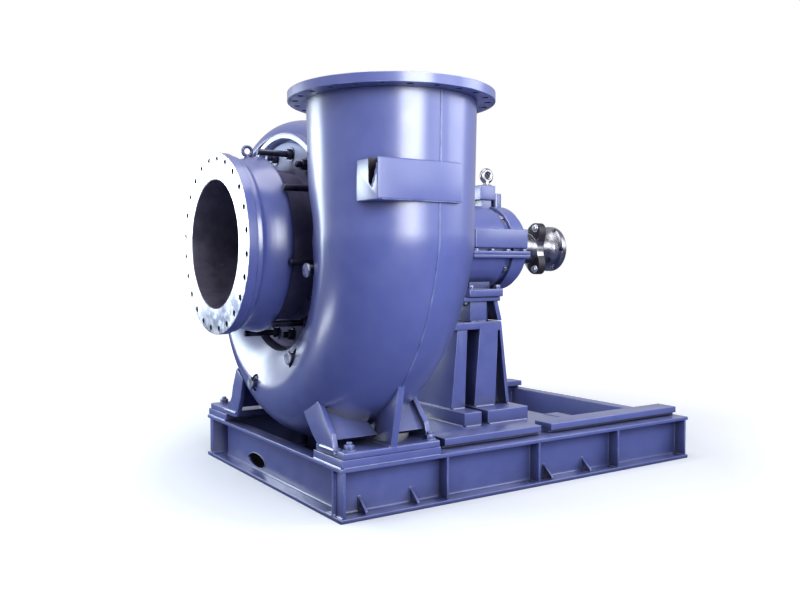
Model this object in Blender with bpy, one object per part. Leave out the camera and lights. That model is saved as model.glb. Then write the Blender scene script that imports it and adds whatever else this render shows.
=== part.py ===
"""End-suction centrifugal volute pump on a fabricated steel baseplate.

Frame: +X runs along the shaft from the suction flange to the coupling, +Z is up, and the discharge
nozzle stands on the -Y side. The origin lies under the middle of the baseplate, below the shaft.
"""
import math

import bmesh
import bpy

# Driving dimensions in metres
SHAFT_HEIGHT = 1.400
SUCTION_FACE_X = -1.605
VOLUTE_X = SUCTION_FACE_X + 0.600
GAP = 0.0003

SUCTION_FLANGE_RADIUS = 0.5075
SUCTION_BORE_RADIUS = 0.365

NOZZLE_RADIUS = 0.416
NOZZLE_FLARE = 0.021
NOZZLE_BORE_RADIUS = 0.380
NOZZLE_Y = -0.917
DISCHARGE_FLANGE_RADIUS = 0.522
DISCHARGE_FACE_Z = SHAFT_HEIGHT + 0.736
DISCHARGE_FLANGE_THICKNESS = 0.046

CASING_WALL = 0.045
SPIRAL_START = -55.0
SPIRAL_SWEEP = 325.0
SPIRAL_START_RADIUS = 0.673
TONGUE_ANGLE = -44.0
THROAT_RADIUS = 0.531
MOUTH_RADIUS = 0.620
COVER_SEAT = 0.130
PASSAGE_HALF_WIDTH = 0.100
CHAMBER_RADIUS = 0.560
EYE_RADIUS = 0.330
BACK_OPENING_RADIUS = 0.480

BAY = 0.6575
BAY_COUNT = 4
BASE_HALF_LENGTH = BAY * BAY_COUNT / 2
BASE_HALF_WIDTH = 0.932
BEAM_HEIGHT = 0.275
BEAM_FLANGE_WIDTH = 0.180
BEAM_FLANGE_THICKNESS = 0.022
CHANNEL_REACH = 0.085
PLATE = 0.014
BEAM_Y = BASE_HALF_WIDTH - BEAM_FLANGE_WIDTH / 2

SHAFT_RADIUS = 0.070
PEDESTAL_X = SUCTION_FACE_X + 1.867
PAD_TOP = BEAM_HEIGHT + 0.042
ROUND = 48

ENAMEL = ("blue_enamel", (0.105, 0.112, 0.360), 0.38, 0.0)
MACHINED = ("machined_steel", (0.62, 0.63, 0.66), 0.30, 1.0)
DARK_STEEL = ("dark_steel", (0.10, 0.10, 0.11), 0.35, 1.0)
CAST_ALLOY = ("cast_alloy", (0.16, 0.14, 0.13), 0.45, 1.0)


def clear_scene():
    for item in list(bpy.data.objects):
        bpy.data.objects.remove(item, do_unlink=True)


def material(finish):
    name, colour, roughness, metallic = finish
    made = bpy.data.materials.get(name)
    if made is None:
        made = bpy.data.materials.new(name)
        made.use_nodes = True
        shader = made.node_tree.nodes["Principled BSDF"]
        shader.inputs["Base Color"].default_value = (*colour, 1.0)
        shader.inputs["Roughness"].default_value = roughness
        shader.inputs["Metallic"].default_value = metallic
    return made


def add_object(name, mesh_work, finish=ENAMEL):
    """Turn a bmesh into a named object, shaded smooth up to 35 degrees."""
    bmesh.ops.recalc_face_normals(mesh_work, faces=mesh_work.faces)
    mesh = bpy.data.meshes.new(name)
    mesh_work.to_mesh(mesh)
    mesh_work.free()
    mesh.shade_smooth()
    mesh.set_sharp_from_angle(angle=math.radians(35))
    made = bpy.data.objects.new(name, mesh)
    made.data.materials.append(material(finish))
    bpy.context.scene.collection.objects.link(made)
    return made


def loft(rings, closed=False):
    """Skin a list of point rings of equal length; the two ends get caps unless closed."""
    work = bmesh.new()
    rows = [[work.verts.new(point) for point in ring] for ring in rings]
    count = len(rows[0])
    pairs = list(zip(rows, rows[1:]))
    if closed:
        pairs.append((rows[-1], rows[0]))
    for here, there in pairs:
        for i in range(count):
            j = (i + 1) % count
            work.faces.new((here[i], here[j], there[j], there[i]))
    if not closed:
        work.faces.new(rows[0])
        work.faces.new(rows[-1])
    return work


def box(name, low, high, finish=ENAMEL):
    xs, ys, zs = zip(low, high)
    rings = [[(x, ys[0], zs[0]), (x, ys[1], zs[0]), (x, ys[1], zs[1]), (x, ys[0], zs[1])] for x in xs]
    return add_object(name, loft(rings), finish)


def prism(name, outline, axis, start, end, finish=ENAMEL):
    """Extrude a flat outline along an axis; the outline's two numbers are the other two axes in order."""
    place = {
        "x": lambda a, b, c: (c, a, b),
        "y": lambda a, b, c: (a, c, b),
        "z": lambda a, b, c: (a, b, c),
    }[axis]
    rings = [[place(a, b, c) for a, b in outline] for c in (start, end)]
    return add_object(name, loft(rings), finish)


def turned(name, profile, centre=(0.0, 0.0), axis="x", steps=ROUND, finish=ENAMEL):
    """Revolve a closed (station, radius) outline; radius 0 points close on the axis."""
    rings = []
    for k in range(steps):
        angle = 2 * math.pi * (k + 0.5) / steps
        side, up = math.sin(angle), math.cos(angle)
        if axis == "x":
            ring = [(s, centre[0] + r * side, centre[1] + r * up) for s, r in profile]
        else:
            ring = [(centre[0] + r * side, centre[1] + r * up, s) for s, r in profile]
        rings.append(ring)
    work = loft(rings, closed=True)
    bmesh.ops.remove_doubles(work, verts=work.verts, dist=0.00001)
    bmesh.ops.dissolve_degenerate(work, edges=work.edges, dist=0.00001)
    return add_object(name, work, finish)


def rod(name, start, end, radius, centre, axis="x", steps=24, finish=ENAMEL):
    """A plain round bar between two stations."""
    profile = [(start, 0.0), (start, radius), (end, radius), (end, 0.0)]
    return turned(name, profile, centre, axis, steps, finish)


def shape_with(target, tools, operation):
    """Combine hidden tool shapes into the target with one exact boolean."""
    group = bpy.data.collections.new(target.name + "_" + operation.lower())
    for tool in tools:
        for holder in tool.users_collection:
            holder.objects.unlink(tool)
        group.objects.link(tool)
        tool.hide_render = True
        tool.display_type = "WIRE"
    bpy.context.scene.collection.children.link(group)
    step = target.modifiers.new(operation.title(), "BOOLEAN")
    step.operation = operation
    step.solver = "EXACT"
    step.operand_type = "COLLECTION"
    step.collection = group
    return target


def fuse(target, *tools):
    return shape_with(target, tools, "UNION")


def cut(target, *tools):
    return shape_with(target, tools, "DIFFERENCE")


# Baseplate


def beam_profile(side):
    """I-beam outline (y, z) of the beam on one side of the shaft."""
    middle = side * BEAM_Y
    half = BEAM_FLANGE_WIDTH / 2
    web = PLATE / 2
    low, high = BEAM_FLANGE_THICKNESS, BEAM_HEIGHT - BEAM_FLANGE_THICKNESS
    right = [(half, 0), (half, low), (web, low), (web, high), (half, high), (half, BEAM_HEIGHT)]
    left = [(-y, z) for y, z in reversed(right)]
    return [(middle + y, z) for y, z in right + left]


def base_beam(name, side):
    """Long I-beam with bay stiffeners and small anchor gussets on its outer side."""
    beam = prism(name, beam_profile(side), "x", -BASE_HALF_LENGTH, BASE_HALF_LENGTH)
    outer = side * (BASE_HALF_WIDTH - 0.004)
    web = side * BEAM_Y
    parts = []
    stations = [-BASE_HALF_LENGTH + 0.010 + PLATE, BASE_HALF_LENGTH - 0.010 - PLATE]
    stations += [BAY * k for k in range(1 - BAY_COUNT // 2, BAY_COUNT // 2)]
    for k, x in enumerate(stations):
        low = (x - PLATE / 2, min(outer, web), BEAM_FLANGE_THICKNESS / 2)
        high = (x + PLATE / 2, max(outer, web), BEAM_HEIGHT - BEAM_FLANGE_THICKNESS / 2)
        parts.append(box(name + "_stiffener_%d" % k, low, high))
    for k, x in enumerate(anchor_stations()):
        foot = side * (BASE_HALF_WIDTH - 0.006)
        outline = [(web, 0.012), (foot, 0.012), (foot, 0.040), (web, 0.110)]
        parts.append(prism(name + "_gusset_%d" % k, outline, "x", x - PLATE / 2, x + PLATE / 2))
    return fuse(beam, *parts)


def anchor_stations():
    """Anchor gussets stand in pairs under the casing feet and under the bearing pedestal."""
    half_pair = 0.158
    centres = (VOLUTE_X, PEDESTAL_X)
    return [x + step for x in centres for step in (-half_pair, half_pair)]


def base_channel(name, x, facing, half_length, high=BEAM_HEIGHT, hole=None):
    """Cross channel with its web at x and its flanges reaching towards the facing side."""
    reach = x + facing * CHANNEL_REACH
    back = x + facing * 0.012
    under, over = BEAM_FLANGE_THICKNESS, high - BEAM_FLANGE_THICKNESS
    outline = [(x, 0.0), (reach, 0.0), (reach, under), (back, under), (back, over), (reach, over),
               (reach, high), (x, high)]
    beam = prism(name, outline, "y", -half_length, half_length)
    if hole:
        cut(beam, prism(name + "_hole", oval(*hole), "x", x - 0.05, x + 0.05))
    return beam


def oval(centre, half_width, half_height, steps=24):
    """Points of an ellipse round a centre."""
    turns = [2 * math.pi * k / steps for k in range(steps)]
    return [(centre[0] + half_width * math.cos(a), centre[1] + half_height * math.sin(a)) for a in turns]


def build_base():
    for name, side in (("base_beam_near", -1), ("base_beam_far", 1)):
        base_beam(name, side)
    between = BASE_HALF_WIDTH - BEAM_FLANGE_WIDTH - GAP
    end_web = BASE_HALF_LENGTH - CHANNEL_REACH
    base_channel("base_end_beam_suction", -end_web, -1, between, 
                 hole=((0.270, 0.078), 0.125, 0.044))
    base_channel("base_end_beam_drive", end_web, 1, between)
    deck_low = BEAM_HEIGHT - 0.015
    cross_top = deck_low - GAP
    deck_start = SUCTION_FACE_X + 0.955
    base_channel("base_cross_beam_casing", deck_start, 1, between, cross_top)
    base_channel("base_cross_beam_middle", CHANNEL_REACH / 2, -1, between, cross_top)
    base_channel("base_cross_beam_pedestal", SUCTION_FACE_X + 1.960, -1, between, cross_top)
    deck_end = SUCTION_FACE_X + 2.20
    box("base_deck_plate", (deck_start, -between, deck_low), (deck_end, between, BEAM_HEIGHT))
    for label, low_y, high_y in (("near", -between, -0.32), ("far", 0.32, between)):
        box("base_deck_strip_" + label, (deck_end + GAP, low_y, deck_low),
            (SUCTION_FACE_X + 2.32, high_y, BEAM_HEIGHT))
    for label, side in (("near", -1), ("far", 1)):
        rail_low = BEAM_HEIGHT + GAP
        for number, (start, end) in enumerate(((0.985, 1.690), (1.772, 2.900)), 1):
            build_rail("base_rail_%s_%d" % (label, number), start, end, side, rail_low)
        inner, outer = sorted((side * 0.620, side * 0.930))
        box("casing_pad_%s" % label, (SUCTION_FACE_X + 0.300, inner, BEAM_HEIGHT + GAP),
            (SUCTION_FACE_X + 0.900, outer, PAD_TOP))


def build_rail(name, start, end, side, low):
    """Flat bar on a narrower packing strip, which leaves a shadow gap along its outer foot."""
    top = low + 0.058
    step = low + 0.018
    outline = [(0.825, low), (0.825, step), (0.848, step), (0.848, top), (0.700, top), (0.700, step),
               (0.745, step), (0.745, low)]
    outline = [(side * y, z) for y, z in outline]
    prism(name, outline, "x", SUCTION_FACE_X + start, SUCTION_FACE_X + end)


# Volute casing


def spiral_station(angle, wall):
    """Section sizes at an angle in degrees from the top towards +Y; a wall thickness gives the inside."""
    t = min(max((angle - SPIRAL_START) / SPIRAL_SWEEP, 0.0), 1.0)
    outer = SPIRAL_START_RADIUS + (NOZZLE_RADIUS - NOZZLE_Y - SPIRAL_START_RADIUS) * t ** 1.24
    deep = (outer - THROAT_RADIUS) / 2
    middle = outer - deep
    half_width = 0.1735 + (NOZZLE_RADIUS - 0.1735) * t ** 1.356 - wall
    lip_half_width = 0.165 + 0.135 * t ** 3
    if wall:
        beyond_lip = min(max((middle - MOUTH_RADIUS - wall) / 0.08, 0.0), 1.0)
        lip_half_width = PASSAGE_HALF_WIDTH
        half_width = PASSAGE_HALF_WIDTH + (half_width - PASSAGE_HALF_WIDTH) * smooth(beyond_lip)
    return middle, max(deep - wall, 0.012), half_width, lip_half_width, MOUTH_RADIUS + wall


def section_points(middle, deep, half_width, lip_half_width, lip_radius, inner_radius, arc_steps):
    """Closed (radius, x) outline: inner corners, tapering side walls, half ellipse outside."""
    lip = lip_radius if middle > lip_radius + 0.02 else (inner_radius + middle) / 2
    points = [(inner_radius, -lip_half_width), (lip, -lip_half_width)]
    for k in range(arc_steps + 1):
        angle = math.pi * (k / arc_steps - 0.5)
        points.append((middle + deep * math.cos(angle), half_width * math.sin(angle)))
    return points + [(lip, lip_half_width), (inner_radius, lip_half_width)]


def volute_rings(inset, inner_radius, spiral_steps, arc_steps, top_z):
    """Rings of the scroll from the tongue round to the nozzle, then up to the discharge flange."""
    rings = []
    for k in range(spiral_steps + 1):
        angle = TONGUE_ANGLE + (SPIRAL_START + SPIRAL_SWEEP - TONGUE_ANGLE) * k / spiral_steps
        turn = math.radians(angle)
        sizes = spiral_station(angle, inset)
        outline = section_points(*sizes, inner_radius, arc_steps)
        side, up = math.sin(turn), math.cos(turn)
        rings.append([(VOLUTE_X + x, r * side, SHAFT_HEIGHT + r * up) for r, x in outline])
    round_height = 0.30
    for z in (0.10, 0.20, round_height, top_z - SHAFT_HEIGHT):
        blend = smooth(min(z / round_height, 1.0))
        circle = circle_like(outline, NOZZLE_RADIUS + NOZZLE_FLARE * z - inset, -NOZZLE_Y)
        ring = []
        for (r, x), (r2, x2) in zip(outline, circle):
            ring.append((VOLUTE_X + x + (x2 - x) * blend, -(r + (r2 - r) * blend), SHAFT_HEIGHT + z))
        rings.append(ring)
    return rings


def smooth(t):
    return t * t * (3 - 2 * t)


def circle_like(outline, radius, centre):
    """Points on a circle that match a section outline: arc points keep their angle."""
    count = len(outline)
    arc = outline[2:-2]
    points = []
    for k in range(len(arc)):
        angle = math.pi * (k / (len(arc) - 1) - 0.5)
        points.append((centre + radius * math.cos(angle), radius * math.sin(angle)))
    lead = []
    for k in range(count - len(arc)):
        angle = math.pi * (0.5 + (k + 1) / (count - len(arc) + 1))
        lead.append((centre + radius * math.cos(angle), radius * math.sin(angle)))
    return [lead[2], lead[3]] + points + [lead[0], lead[1]]


def build_casing():
    nozzle_top = DISCHARGE_FACE_Z - DISCHARGE_FLANGE_THICKNESS - GAP
    centre = (0.0, SHAFT_HEIGHT)
    casing = add_object("volute_casing", loft(volute_rings(0.0, 0.50, 40, 12, nozzle_top)))
    drum = turned("casing_drum", [(VOLUTE_X - 0.20, 0.45), (VOLUTE_X - 0.20, 0.655),
                                  (VOLUTE_X - 0.06, 0.655), (VOLUTE_X - 0.06, 0.622),
                                  (VOLUTE_X + 0.207, 0.622), (VOLUTE_X + 0.207, 0.45)], centre)
    pad = box("casing_name_pad", (VOLUTE_X - 0.345, -1.348, SHAFT_HEIGHT + 0.170),
              (VOLUTE_X + 0.120, -1.100, SHAFT_HEIGHT + 0.360))
    tongue = box("casing_tongue", (VOLUTE_X - 0.150, -0.560, SHAFT_HEIGHT + 0.280),
                 (VOLUTE_X + 0.150, -0.420, SHAFT_HEIGHT + 0.440))
    bosses = []
    for k, (angle, radius) in enumerate(BOSS_PLACES):
        turn = math.radians(angle)
        spot = (radius * math.sin(turn), SHAFT_HEIGHT + radius * math.cos(turn))
        start = VOLUTE_X - boss_reach(angle)
        bosses.append(rod("casing_boss_%d" % k, start, VOLUTE_X - 0.15, 0.032, spot, steps=12))
    fuse(casing, drum, pad, tongue, *bosses, *casing_foot("near", -1), *casing_foot("far", 1))
    hollow = add_object("casing_hollow", loft(volute_rings(CASING_WALL, 0.46, 30, 10, nozzle_top + 0.05)))
    front, rear = VOLUTE_X - PASSAGE_HALF_WIDTH + 0.004, VOLUTE_X + 0.155
    chamber = turned("casing_chamber", [(front, 0.40), (front, CHAMBER_RADIUS), (rear, CHAMBER_RADIUS),
                                        (rear, 0.40)], centre)
    outside, seat = VOLUTE_X - 0.50, VOLUTE_X - COVER_SEAT
    mouth = turned("casing_mouth", [(outside, 0.30), (outside, MOUTH_RADIUS), (seat, MOUTH_RADIUS),
                                    (seat, 0.555), (VOLUTE_X, 0.555), (VOLUTE_X, 0.30)], centre, steps=60)
    face = VOLUTE_X + 0.20
    back = turned("casing_back", [(VOLUTE_X, 0.30), (VOLUTE_X, BACK_OPENING_RADIUS),
                                  (face, BACK_OPENING_RADIUS), (face, 0.600), (face + 0.30, 0.600),
                                  (face + 0.30, 0.30)], centre, steps=60)
    for tool in (hollow, chamber, mouth, back):
        cut(casing, tool)
    return casing


BOSS_PLACES = ((-102.0, 0.70), (-147.0, 0.74), (-187.0, 0.82), (128.0, 0.74), (82.0, 0.72), (37.0, 0.68))


def boss_reach(angle):
    return 0.355 if angle <= -90 else 0.300


def casing_foot(label, side):
    """Cast foot: plate on the machined pad, three upright ribs and sloping webs between them."""
    low = PAD_TOP + GAP
    top = low + 0.036
    root = low + 0.010
    if side < 0:
        edges = (0.630, 0.935)
        end_rib = [(0.700, root), (0.850, root), (0.816, 0.431), (0.673, 0.580), (0.499, 0.507),
                   (0.607, 0.396)]
        middle_rib = [(0.640, root), (0.930, root), (1.015, 0.700), (0.640, 0.740)]
        web_shift = 0.0
    else:
        edges = (0.500, 0.920)
        end_rib = [(0.440, root), (0.620, root), (0.515, 0.451), (0.498, 0.510), (0.431, 0.641),
                   (0.332, 0.582), (0.379, 0.448)]
        middle_rib = [(0.540, root), (0.840, root), (0.640, 0.560), (0.480, 0.660)]
        web_shift = -0.270
    inner, outer = sorted((side * edges[0], side * edges[1]))
    pieces = [box("foot_plate_" + label, (VOLUTE_X - 0.290, inner, low), (VOLUTE_X + 0.290, outer, top))]
    for number, (x, thick) in enumerate(((-0.285, 0.032), (0.0, 0.040), (0.285, 0.032))):
        outline = middle_rib if number == 1 else end_rib
        outline = [(side * y, z) for y, z in outline]
        centre = VOLUTE_X + x
        name = "foot_rib_%s_%d" % (label, number)
        pieces.append(prism(name, outline, "x", centre - thick / 2, centre + thick / 2))
    for number, end in enumerate((-1, 1)):
        face = [(-0.285, 0.800, 0.395), (-0.015, 0.800, 0.395), (-0.060, 0.740, 0.480),
                (-0.285, 0.660, 0.560)]
        rings = []
        for shift in (0.0, -0.030):
            reach = web_shift + shift
            rings.append([(VOLUTE_X - end * x, side * (y + reach), z + shift * 0.6) for x, y, z in face])
        pieces.append(add_object("foot_web_%s_%d" % (label, number), loft(rings)))
    return pieces


def build_discharge_flange():
    low = DISCHARGE_FACE_Z - DISCHARGE_FLANGE_THICKNESS
    rim = DISCHARGE_FLANGE_RADIUS
    profile = [(low, NOZZLE_BORE_RADIUS), (low, rim), (DISCHARGE_FACE_Z - 0.004, rim),
               (DISCHARGE_FACE_Z, rim - 0.004), (DISCHARGE_FACE_Z, NOZZLE_BORE_RADIUS)]
    turned("discharge_flange", profile, (VOLUTE_X, NOZZLE_Y), "z", 60)


# Suction side


def build_suction():
    s = SUCTION_FACE_X
    axis = (0.0, SHAFT_HEIGHT)
    rim = SUCTION_FLANGE_RADIUS
    flange = [(s, SUCTION_BORE_RADIUS), (s, rim - 0.003), (s + 0.003, rim), (s + 0.050, rim),
              (s + 0.050, SUCTION_BORE_RADIUS)]
    turned("suction_flange", flange, axis, steps=60, finish=MACHINED)
    start = s + 0.050 + GAP
    seat = VOLUTE_X - COVER_SEAT - GAP
    ring = seat - 0.035
    inside = VOLUTE_X - 0.110
    cover = [(start, SUCTION_BORE_RADIUS), (start, 0.500), (s + 0.066, 0.487), (s + 0.085, 0.481),
             (s + 0.118, 0.481), (s + 0.135, 0.487), (s + 0.180, 0.494), (s + 0.240, 0.490),
             (s + 0.268, 0.470), (s + 0.275, 0.440), (ring, 0.430), (ring, 0.600),
             (seat, 0.600), (seat, 0.553), (inside, 0.553), (inside, EYE_RADIUS), (s + 0.330, EYE_RADIUS)]
    turned("suction_cover", cover, axis, steps=60)
    lifting_eye("suction_lifting_eye", s + 0.205, 0.493, 0.022, 0.533, 0.027, 0.009)


def lifting_eye(name, x, seat_height, foot_radius, ring_height, ring_radius, ring_thick):
    """Forged eye on a round foot, its ring standing in the plane of the shaft; heights from the shaft."""
    seat = SHAFT_HEIGHT + seat_height + GAP
    middle = SHAFT_HEIGHT + ring_height
    neck = foot_radius * 0.6
    step = seat + 0.008
    stem = turned(name, [(seat, 0.0), (seat, foot_radius), (step, foot_radius), (step, neck),
                         (middle - ring_radius, neck), (middle - ring_radius, 0.0)], (x, 0.0), "z", 16)
    return fuse(stem, torus(name + "_ring", (x, 0.0, middle), ring_radius, ring_thick))


def torus(name, centre, radius, thick, steps=18, sides=8):
    rings = []
    for k in range(steps):
        turn = 2 * math.pi * k / steps
        ring = []
        for j in range(sides):
            lap = 2 * math.pi * j / sides
            reach = radius + thick * math.cos(lap)
            ring.append((centre[0] + reach * math.cos(turn), centre[1] + thick * math.sin(lap),
                         centre[2] + reach * math.sin(turn)))
        rings.append(ring)
    return add_object(name, loft(rings, closed=True))


def build_impeller():
    axis = (0.0, SHAFT_HEIGHT)
    x = VOLUTE_X
    back = [(x - 0.07, 0.0), (x - 0.05, 0.09), (x + 0.03, 0.16), (x + 0.085, 0.30), (x + 0.095, 0.52),
            (x + 0.125, 0.52), (x + 0.135, 0.16), (x + 0.16, 0.16), (x + 0.16, 0.0)]
    impeller = turned("impeller", back, axis, finish=CAST_ALLOY)
    shroud = turned("impeller_shroud", [(x - 0.098, 0.322), (x - 0.098, 0.352), (x - 0.075, 0.52),
                                        (x - 0.050, 0.52), (x - 0.068, 0.322)], axis, finish=CAST_ALLOY)
    vanes = []
    for k in range(5):
        vanes.append(vane("impeller_vane_%d" % k, 72.0 * k))
    fuse(impeller, shroud, *vanes)
    return impeller


def vane(name, turn):
    """Curved blade between the shrouds, swept back as it runs outwards."""
    thick = 0.028
    rows = []
    for k in range(7):
        t = k / 6
        radius = 0.17 + 0.34 * t
        angle = math.radians(turn + 75.0 * t)
        low_x = VOLUTE_X - 0.080 + 0.017 * t
        high_x = VOLUTE_X + 0.045 + 0.060 * min(1.6 * t, 1.0)
        half = thick / 2 / radius
        ring = []
        for x, side in ((low_x, -half), (low_x, half), (high_x, half), (high_x, -half)):
            a = angle + side
            ring.append((x, radius * math.sin(a), SHAFT_HEIGHT + radius * math.cos(a)))
        rows.append(ring)
    return add_object(name, loft(rows), CAST_ALLOY)


# Drive side


def build_drive_side():
    axis = (0.0, SHAFT_HEIGHT)
    s = SUCTION_FACE_X
    back = VOLUTE_X + 0.20
    bore = SHAFT_RADIUS + 0.012
    spigot = BACK_OPENING_RADIUS - 0.004
    cover = [(back - 0.028, bore), (back - 0.028, spigot), (back + GAP, spigot), (back + GAP, 0.585),
             (back + 0.050, 0.585), (back + 0.050, 0.330), (back + 0.110, 0.250), (back + 0.110, bore)]
    turned("back_cover", cover, axis)
    start = back + 0.110 + GAP
    seal = [(start, bore), (start, 0.190), (start + 0.150, 0.190), (start + 0.160, 0.150),
            (start + 0.230, 0.150), (start + 0.230, bore)]
    turned("seal_housing", seal, axis, steps=36)
    foot = back + 0.050 + GAP
    end = s + 1.330 - GAP
    bracket = [(foot, 0.345), (foot, 0.520), (foot + 0.040, 0.520), (foot + 0.060, 0.430),
               (end - 0.060, 0.300), (end - 0.045, 0.330), (end, 0.330), (end, 0.230), (end - 0.080, 0.230)]
    lantern = turned("bearing_bracket", bracket, axis, steps=36)
    cut(lantern, *mirrored_boxes("bracket_window", (s + 0.975, 0.10, SHAFT_HEIGHT - 0.150),
                                 (s + 1.205, 0.60, SHAFT_HEIGHT + 0.150)))
    housing_end = s + 2.075
    build_housing(axis, s + 1.330, housing_end)
    start = housing_end + GAP
    end = s + 2.100
    tight = bearing_bore()
    cover = [(start, tight), (start, 0.268), (end - 0.008, 0.262), (end, 0.250), (end, tight)]
    turned("bearing_cover_drive", cover, axis)
    cap = [(end + GAP, bore), (end + GAP, 0.175), (end + 0.080, 0.165), (end + 0.090, 0.150),
           (end + 0.090, bore)]
    turned("bearing_end_cap", cap, axis, steps=36)
    start = VOLUTE_X + 0.160 + GAP
    neck, end = s + 2.250, s + 2.300
    shaft = [(start, 0.0), (start, SHAFT_RADIUS), (neck, SHAFT_RADIUS), (neck, 0.060), (end, 0.060),
             (end, 0.0)]
    turned("shaft", shaft, axis, finish=DARK_STEEL)
    build_coupling(end + GAP, axis)


def bearing_bore():
    """Bore radius that clears the turning shaft by half a millimetre at the middle of its flats."""
    return (SHAFT_RADIUS + 0.0005) / math.cos(math.pi / ROUND)


def build_housing(axis, start, end):
    """Two-part bearing housing, split below the shaft axis, on a foot with a web."""
    split = SHAFT_HEIGHT - 0.048
    tight = bearing_bore()
    bore = SHAFT_RADIUS + 0.040
    body = [(start, tight), (start, 0.275), (start + 0.030, 0.285), (start + 0.060, 0.262),
            (start + 0.240, 0.262), (start + 0.270, 0.285), (end - 0.175, 0.285), (end - 0.170, 0.258),
            (end - 0.120, 0.258), (end - 0.115, 0.285), (end - 0.015, 0.285), (end, 0.270), (end, bore),
            (start + 0.050, bore), (start + 0.050, tight)]
    foot = start + 0.290
    for name, side in (("bearing_housing_upper", 1), ("bearing_housing_lower", -1)):
        half = turned(name, body, axis)
        face = split + side * GAP / 2
        low, high = sorted((face, face + side * 0.022))
        pieces = mirrored_boxes(name + "_flange", (start + 0.270, 0.200, low), (end - 0.005, 0.325, high))
        if side > 0:
            pieces += mirrored_boxes(name + "_side", (start + 0.300, 0.200, SHAFT_HEIGHT - 0.008),
                                     (end - 0.005, 0.300, SHAFT_HEIGHT + 0.120))
            pieces.append(box(name + "_eye_neck", (end - 0.190, -0.042, SHAFT_HEIGHT + 0.230),
                              (end - 0.108, 0.042, SHAFT_HEIGHT + 0.330)))
            pieces.append(box(name + "_eye_block", (end - 0.213, -0.055, SHAFT_HEIGHT + 0.325),
                              (end - 0.083, 0.055, SHAFT_HEIGHT + 0.425)))
            pieces.append(rod(name + "_plug", SHAFT_HEIGHT + 0.240, SHAFT_HEIGHT + 0.375, 0.040,
                              (end - 0.040, 0.0), "z", 16))
        else:
            pieces.append(box(name + "_foot", (foot, -0.250, SHAFT_HEIGHT - 0.325),
                              (foot + 0.280, 0.250, SHAFT_HEIGHT - 0.272)))
            pieces.append(box(name + "_foot_web", (foot + 0.060, -0.170, SHAFT_HEIGHT - 0.290),
                              (foot + 0.230, 0.170, SHAFT_HEIGHT - 0.220)))
        fuse(half, *pieces)
        low, high = sorted((face, face - side * 0.6))
        cut(half, box(name + "_split", (start - 0.1, -0.6, low), (end + 0.1, 0.6, high)))
    clear_bore = [(start - 0.1, 0.0), (start - 0.1, tight), (start + 0.050, tight), (start + 0.050, bore),
                  (end + 0.1, bore), (end + 0.1, 0.0)]
    for name in ("bearing_housing_upper", "bearing_housing_lower"):
        cut(bpy.data.objects[name], turned(name + "_bore", clear_bore, axis))
    lifting_eye("housing_lifting_eye", end - 0.119, 0.425, 0.030, 0.498, 0.038, 0.012)


def mirrored_boxes(name, low, high):
    """A box on the +Y side and its mirror image on the -Y side."""
    far = box(name + "_far", low, high)
    near = box(name + "_near", (low[0], -high[1], low[2]), (high[0], -low[1], high[2]))
    return [far, near]


def build_coupling(start, axis):
    """Driven half of a spacer coupling: flange, barrel and a dished driving plate, all turning."""
    s = SUCTION_FACE_X
    flange, plate, end = s + 2.330, s + 2.520, s + 2.560
    hub = [(start, 0.0), (start, 0.120), (flange - 0.006, 0.132), (flange, 0.200), (flange + 0.055, 0.200),
           (flange + 0.061, 0.150), (flange + 0.080, 0.108), (plate - 0.015, 0.108), (plate - 0.006, 0.120),
           (plate, 0.165), (end, 0.165), (end, 0.070), (plate, 0.070), (plate, 0.0)]
    turned("coupling_hub", hub, axis, steps=40, finish=DARK_STEEL)


def build_pedestal():
    """Two tapering legs on sills; the stool under the bearing housing stands on the cap and the drive leg."""
    s = SUCTION_FACE_X
    low = BEAM_HEIGHT + GAP
    sill_top = low + 0.085
    top = SHAFT_HEIGHT - 0.487
    cap_low = top - 0.048
    half = 0.240
    box("pedestal_sill_suction", (s + 1.465, -0.400, low), (s + 1.600, 0.400, sill_top))
    box("pedestal_sill_drive", (s + 1.650, -0.400, low), (s + 1.985, 0.400, sill_top))
    leg_low = sill_top + GAP
    leg_top = cap_low - GAP
    slim = [(s + 1.480, leg_low), (s + 1.590, leg_low), (s + 1.610, leg_top), (s + 1.530, leg_top)]
    prism("pedestal_leg_suction", slim, "y", -half, half)
    broad = [(s + 1.666, leg_low), (s + 1.964, leg_low), (s + 1.893, top), (s + 1.716, top)]
    leg = prism("pedestal_leg_drive", broad, "y", -half, half)
    recess = [(s + 1.835, leg_low - 0.1), (s + 1.935, leg_low - 0.1), (s + 1.935, leg_low + 0.01),
              (s + 1.880, top - 0.06), (s + 1.862, top - 0.06)]
    for label, side in (("near", -1), ("far", 1)):
        inner, outer = sorted((side * 0.150, side * 0.300))
        cut(leg, prism("pedestal_recess_" + label, recess, "y", inner, outer))
    cap_end = 1.716 - 0.05 * 0.048 / (top - leg_low) - 0.001
    box("pedestal_cap", (s + 1.500, -half - 0.01, cap_low), (s + cap_end, half + 0.01, top))
    foot = SHAFT_HEIGHT - 0.325 - GAP
    seat = top + GAP
    stool = box("bearing_stool", (s + 1.663, -0.200, seat), (s + 1.800, 0.200, foot - 0.020))
    core = box("bearing_stool_core", (s + 1.780, -0.120, seat), (s + 1.880, 0.120, foot - 0.020))
    head = box("bearing_stool_head", (s + 1.600, -0.220, foot - 0.030), (s + 1.900, 0.220, foot))
    slope = [(s + 1.896, seat), (s + 1.931, seat), (s + 1.890, foot - 0.015), (s + 1.856, foot - 0.015)]
    fuse(stool, core, head, prism("bearing_stool_slope", slope, "y", -0.200, 0.200))


def main():
    clear_scene()
    build_base()
    build_casing()
    build_discharge_flange()
    build_suction()
    build_impeller()
    build_drive_side()
    build_pedestal()


main()
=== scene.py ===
import math

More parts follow.
